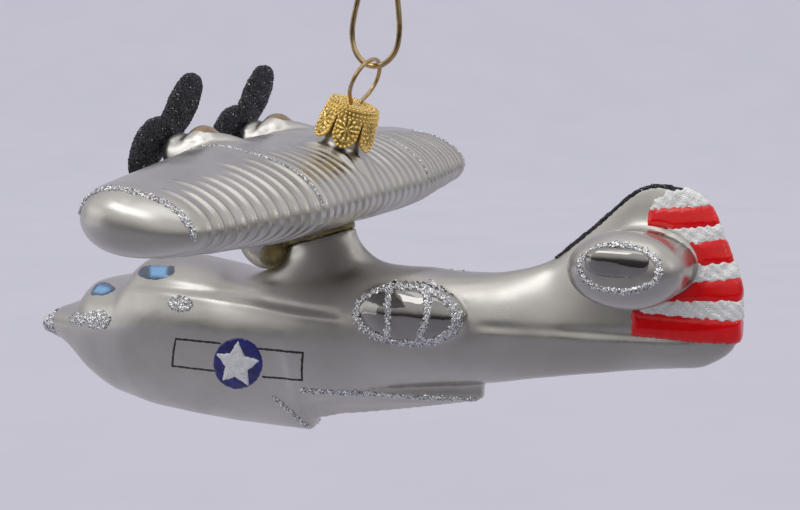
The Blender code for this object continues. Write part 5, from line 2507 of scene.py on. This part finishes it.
@dataclass
class HangingHook:
    """Wire hook: an eye that holds the loop and an open crook for the branch."""

    wire: float = 1.0
    gap: float = 0.3
    crook_radius: float = 7.5
    crook_height: float = 37.0
    crook_offset: float = 0.3

    # offset aft and height above the eye's bottom
    ROUTE = (
        (7.3, 33.2), (5.2, 29.2), (2.6, 25.6), (0.4, 21.5), (-1.4, 17.0), (-3.0, 12.0), (-4.2, 6.6),
        (-3.8, 3.0), (-2.1, 0.7), (0.0, 0.0), (2.3, 0.6), (4.3, 2.8), (5.0, 6.4), (4.6, 12.0),
        (3.8, 17.0), (3.0, 20.6), (2.4, 22.6),
    )

    def build(self, loop: WireLoop, cap: CrownCap, shop: Workshop) -> None:
        """Build and dress the hook.

        Args:
            loop: The loop that hangs in its eye.
            cap: The cap's sizes.
            shop: Shared trees and finishes.
        """
        turn = np.radians((205, 180, 155, 130, 105, 80, 55, 30, 5))
        middle = (self.crook_offset, self.crook_height)
        crook = self.crook_radius * np.column_stack([np.cos(turn), np.sin(turn)]) + middle
        route = thread(np.vstack([crook, self.ROUTE]), 300)
        eye = loop.top(cap) - (0.0, 0.0, (loop.wire + self.wire) / 2 + self.gap)
        points = np.column_stack([route[:, 0], np.zeros(len(route)), route[:, 1]]) + eye
        obj = shop.wire("hook_wire_round", points, self.wire)
        finish_piece(obj, Body.HOOK, "hook_wire", "hanging_hook")


# Studio


@dataclass
class Studio:
    """Pale sweep, soft lights and the photograph's camera.

    Attributes:
        azimuth: Degrees that the camera stands aft of the beam.
        elevation: Degrees that it stands above the ornament.
        distance: Distance from the wing centre in millimetres.
        shift: Offset along the picture's width and height in millimetres.
        focal: Focal length in pixels of an image 800 wide.
    """

    azimuth: float = 25.0
    elevation: float = 8.0
    distance: float = 317.0
    shift: Point = (15.1, -11.9)
    focal: float = 1746.0

    # place from straight down (0) to straight up (1), brightness
    SKY = (
        (0.0, 0.42), (0.15, 0.34), (0.30, 0.15), (0.42, 0.05), (0.50, 0.09), (0.55, 0.34),
        (0.62, 0.60), (0.74, 0.74), (1.0, 0.74),
    )

    PHOTO_WIDTH, SENSOR = 800, 36.0
    # metres from the glass down to the floor, from the middle to its sides and to the lights
    DROP, HALF_FLOOR, LIGHT_REACH = 0.09, 3.0, 0.9

    # two near shades of the sweep's paper, and what the camera sees beyond it
    PAPER = ((0.4, (0.490, 0.482, 0.560)), (0.6, (0.501, 0.492, 0.568)))
    BACKDROP = (0.495, 0.487, 0.564, 1.0)

    # name, degrees round from the camera, degrees up, width and height in metres, watts
    LIGHTS = (
        ("key_box", -52.0, 48.0, (0.55, 0.35), 1.0), ("top_box", 10.0, 78.0, (0.8, 0.6), 1.0),
        ("window", 62.0, 22.0, (0.08, 0.20), 0.12), ("left_panel", -92.0, 4.0, (0.6, 0.55), 0.5),
    )

    def axes(self) -> tuple[Vector, Vector, Vector]:
        """Right, up and back of the camera.

        Returns:
            Three unit directions.
        """
        a, e = math.radians(self.azimuth), math.radians(self.elevation)
        right = Vector((math.cos(a), math.sin(a), 0.0))
        up = Vector((-math.sin(a) * math.sin(e), math.cos(a) * math.sin(e), math.cos(e)))
        back = Vector((math.sin(a) * math.cos(e), -math.cos(a) * math.cos(e), math.sin(e)))
        return right, up, back

    def camera(self) -> None:
        """Set up the camera at the photograph's angle."""
        right, up, back = self.axes()
        data = bpy.data.cameras.new("camera")
        data.sensor_width = self.SENSOR
        data.lens = self.focal * data.sensor_width / self.PHOTO_WIDTH
        data.clip_start = 0.005
        data.clip_end = 20.0
        obj = linked("camera", data)
        offset = right * self.shift[0] + up * self.shift[1] + back * self.distance
        turn = Matrix((right, up, back)).transposed().to_4x4()
        obj.matrix_world = Matrix.Translation(CENTRE + offset * MM) @ turn
        bpy.context.scene.camera = obj

    def sweep(self) -> None:
        """Pale floor that curves up behind the ornament and glows evenly pale to the camera."""
        right, _, back = self.axes()
        away = Vector((-back.x, -back.y, 0.0)).normalized()
        profile = [(-0.7, 0.0, 0.36), (-0.12, 0.0, 0.52), (0.14, 0.0, 1.0), (1.2, 0.0, 1.0)]
        profile += [
            (1.2 + 0.9 * math.sin(k * math.pi / 32), 0.9 - 0.9 * math.cos(k * math.pi / 32), 1.0)
            for k in range(1, 17)
        ]
        profile.append((2.1, 3.0, 1.0))
        floor = HULL_LOW.z - self.DROP
        points, faces, glows = [], [], []
        for reach, height, glow in profile:
            for side in (-self.HALF_FLOOR, self.HALF_FLOOR):
                place = CENTRE + away * reach + right * side
                points.append((place.x, place.y, floor + height))
                glows.append(glow)
        for k in range(len(profile) - 1):
            faces.append((2 * k, 2 * k + 1, 2 * k + 3, 2 * k + 2))
        mesh = bpy.data.meshes.new("studio_sweep")
        mesh.from_pydata(points, [], faces)
        write_values(mesh, "glow", glows)
        surface = Surface("sweep_paper")
        seen = surface.node("ShaderNodeLightPath").outputs["Is Camera Ray"]
        # the glass mirrors it dim in front, but it looks evenly pale from everywhere
        glow = surface.node(
            "ShaderNodeMath", {0: surface.attribute("glow"), 1: seen}, operation="MAXIMUM"
        )
        feeds = {
            "Emission Color": surface.ramp(surface.noise(60.0), self.PAPER),
            "Emission Strength": glow.outputs[0], "Base Color": (0.04, 0.04, 0.045, 1.0),
            "Roughness": 0.9,
        }
        for key, value in feeds.items():
            surface.feed(surface.shader.inputs[key], value)
        mesh.materials.append(surface.material)
        mesh.shade_smooth()
        linked("studio_sweep", mesh)

    def light(self, name: str, azimuth: float, elevation: float, size: Point, power: float) -> None:
        """Soft box that points at the ornament.

        Args:
            name: Name of the light.
            azimuth: Degrees round from the camera.
            elevation: Degrees above the ornament.
            size: Width and height in metres.
            power: Power in watts.
        """
        data = bpy.data.lights.new(name, "AREA")
        data.shape = "RECTANGLE"
        data.size, data.size_y = size
        data.energy = power
        obj = linked(name, data)
        a, e = math.radians(self.azimuth + azimuth), math.radians(elevation)
        back = Vector((math.sin(a) * math.cos(e), -math.cos(a) * math.cos(e), math.sin(e)))
        turn = back.to_track_quat("Z", "Y").to_matrix().to_4x4()
        obj.matrix_world = Matrix.Translation(CENTRE + back * self.LIGHT_REACH) @ turn

    def world(self) -> None:
        """Light from all round: bright above, dim behind the camera, middling below."""
        world = bpy.data.worlds.new("studio_world")
        world.use_nodes = True
        made = Nodes(world.node_tree)
        direction = made.node("ShaderNodeTexCoord").outputs["Generated"]
        apart = made.node("ShaderNodeSeparateXYZ", {0: direction})
        height = made.node("ShaderNodeMapRange", {"From Min": -1.0, "Value": apart.outputs["Z"]})
        stops = tuple((place, (v, v * 0.985, v * 0.97)) for place, v in self.SKY)
        feeds = {
            "Fac": made.node("ShaderNodeLightPath").outputs["Is Camera Ray"],
            "Color1": made.ramp(height.outputs["Result"], stops), "Color2": self.BACKDROP,
        }
        background = world.node_tree.nodes["Background"].inputs
        made.feed(background["Color"], made.node("ShaderNodeMixRGB", feeds).outputs["Color"])
        made.feed(background["Strength"], 1.0)
        bpy.context.scene.world = world

    def build(self) -> None:
        """Set up the whole studio."""
        self.camera()
        self.sweep()
        self.world()
        for row in self.LIGHTS:
            self.light(*row)
        bpy.context.scene.view_settings.view_transform = "Standard"


def main() -> None:
    """Build the ornament and its studio."""
    logging.basicConfig(level=logging.INFO, format="%(name)s: %(message)s")
    shop = Workshop()
    hull = HullGlass()
    hull_skin = hull.build(shop)
    wing = WingGlass()
    wing_skin = wing.build(shop)
    Trim(hull_skin, wing_skin, shop).build(hull, wing)
    for label, side in (("port", Side.PORT), ("starboard", Side.STARBOARD)):
        Propeller(label, side).build(wing, shop)
    GlueSeam().build(wing, shop)
    cap = CrownCap()
    cap.build(shop)
    loop = WireLoop()
    loop.build(cap, shop)
    HangingHook().build(loop, cap, shop)
    Studio().build()


if __name__ == "__main__":
    main()
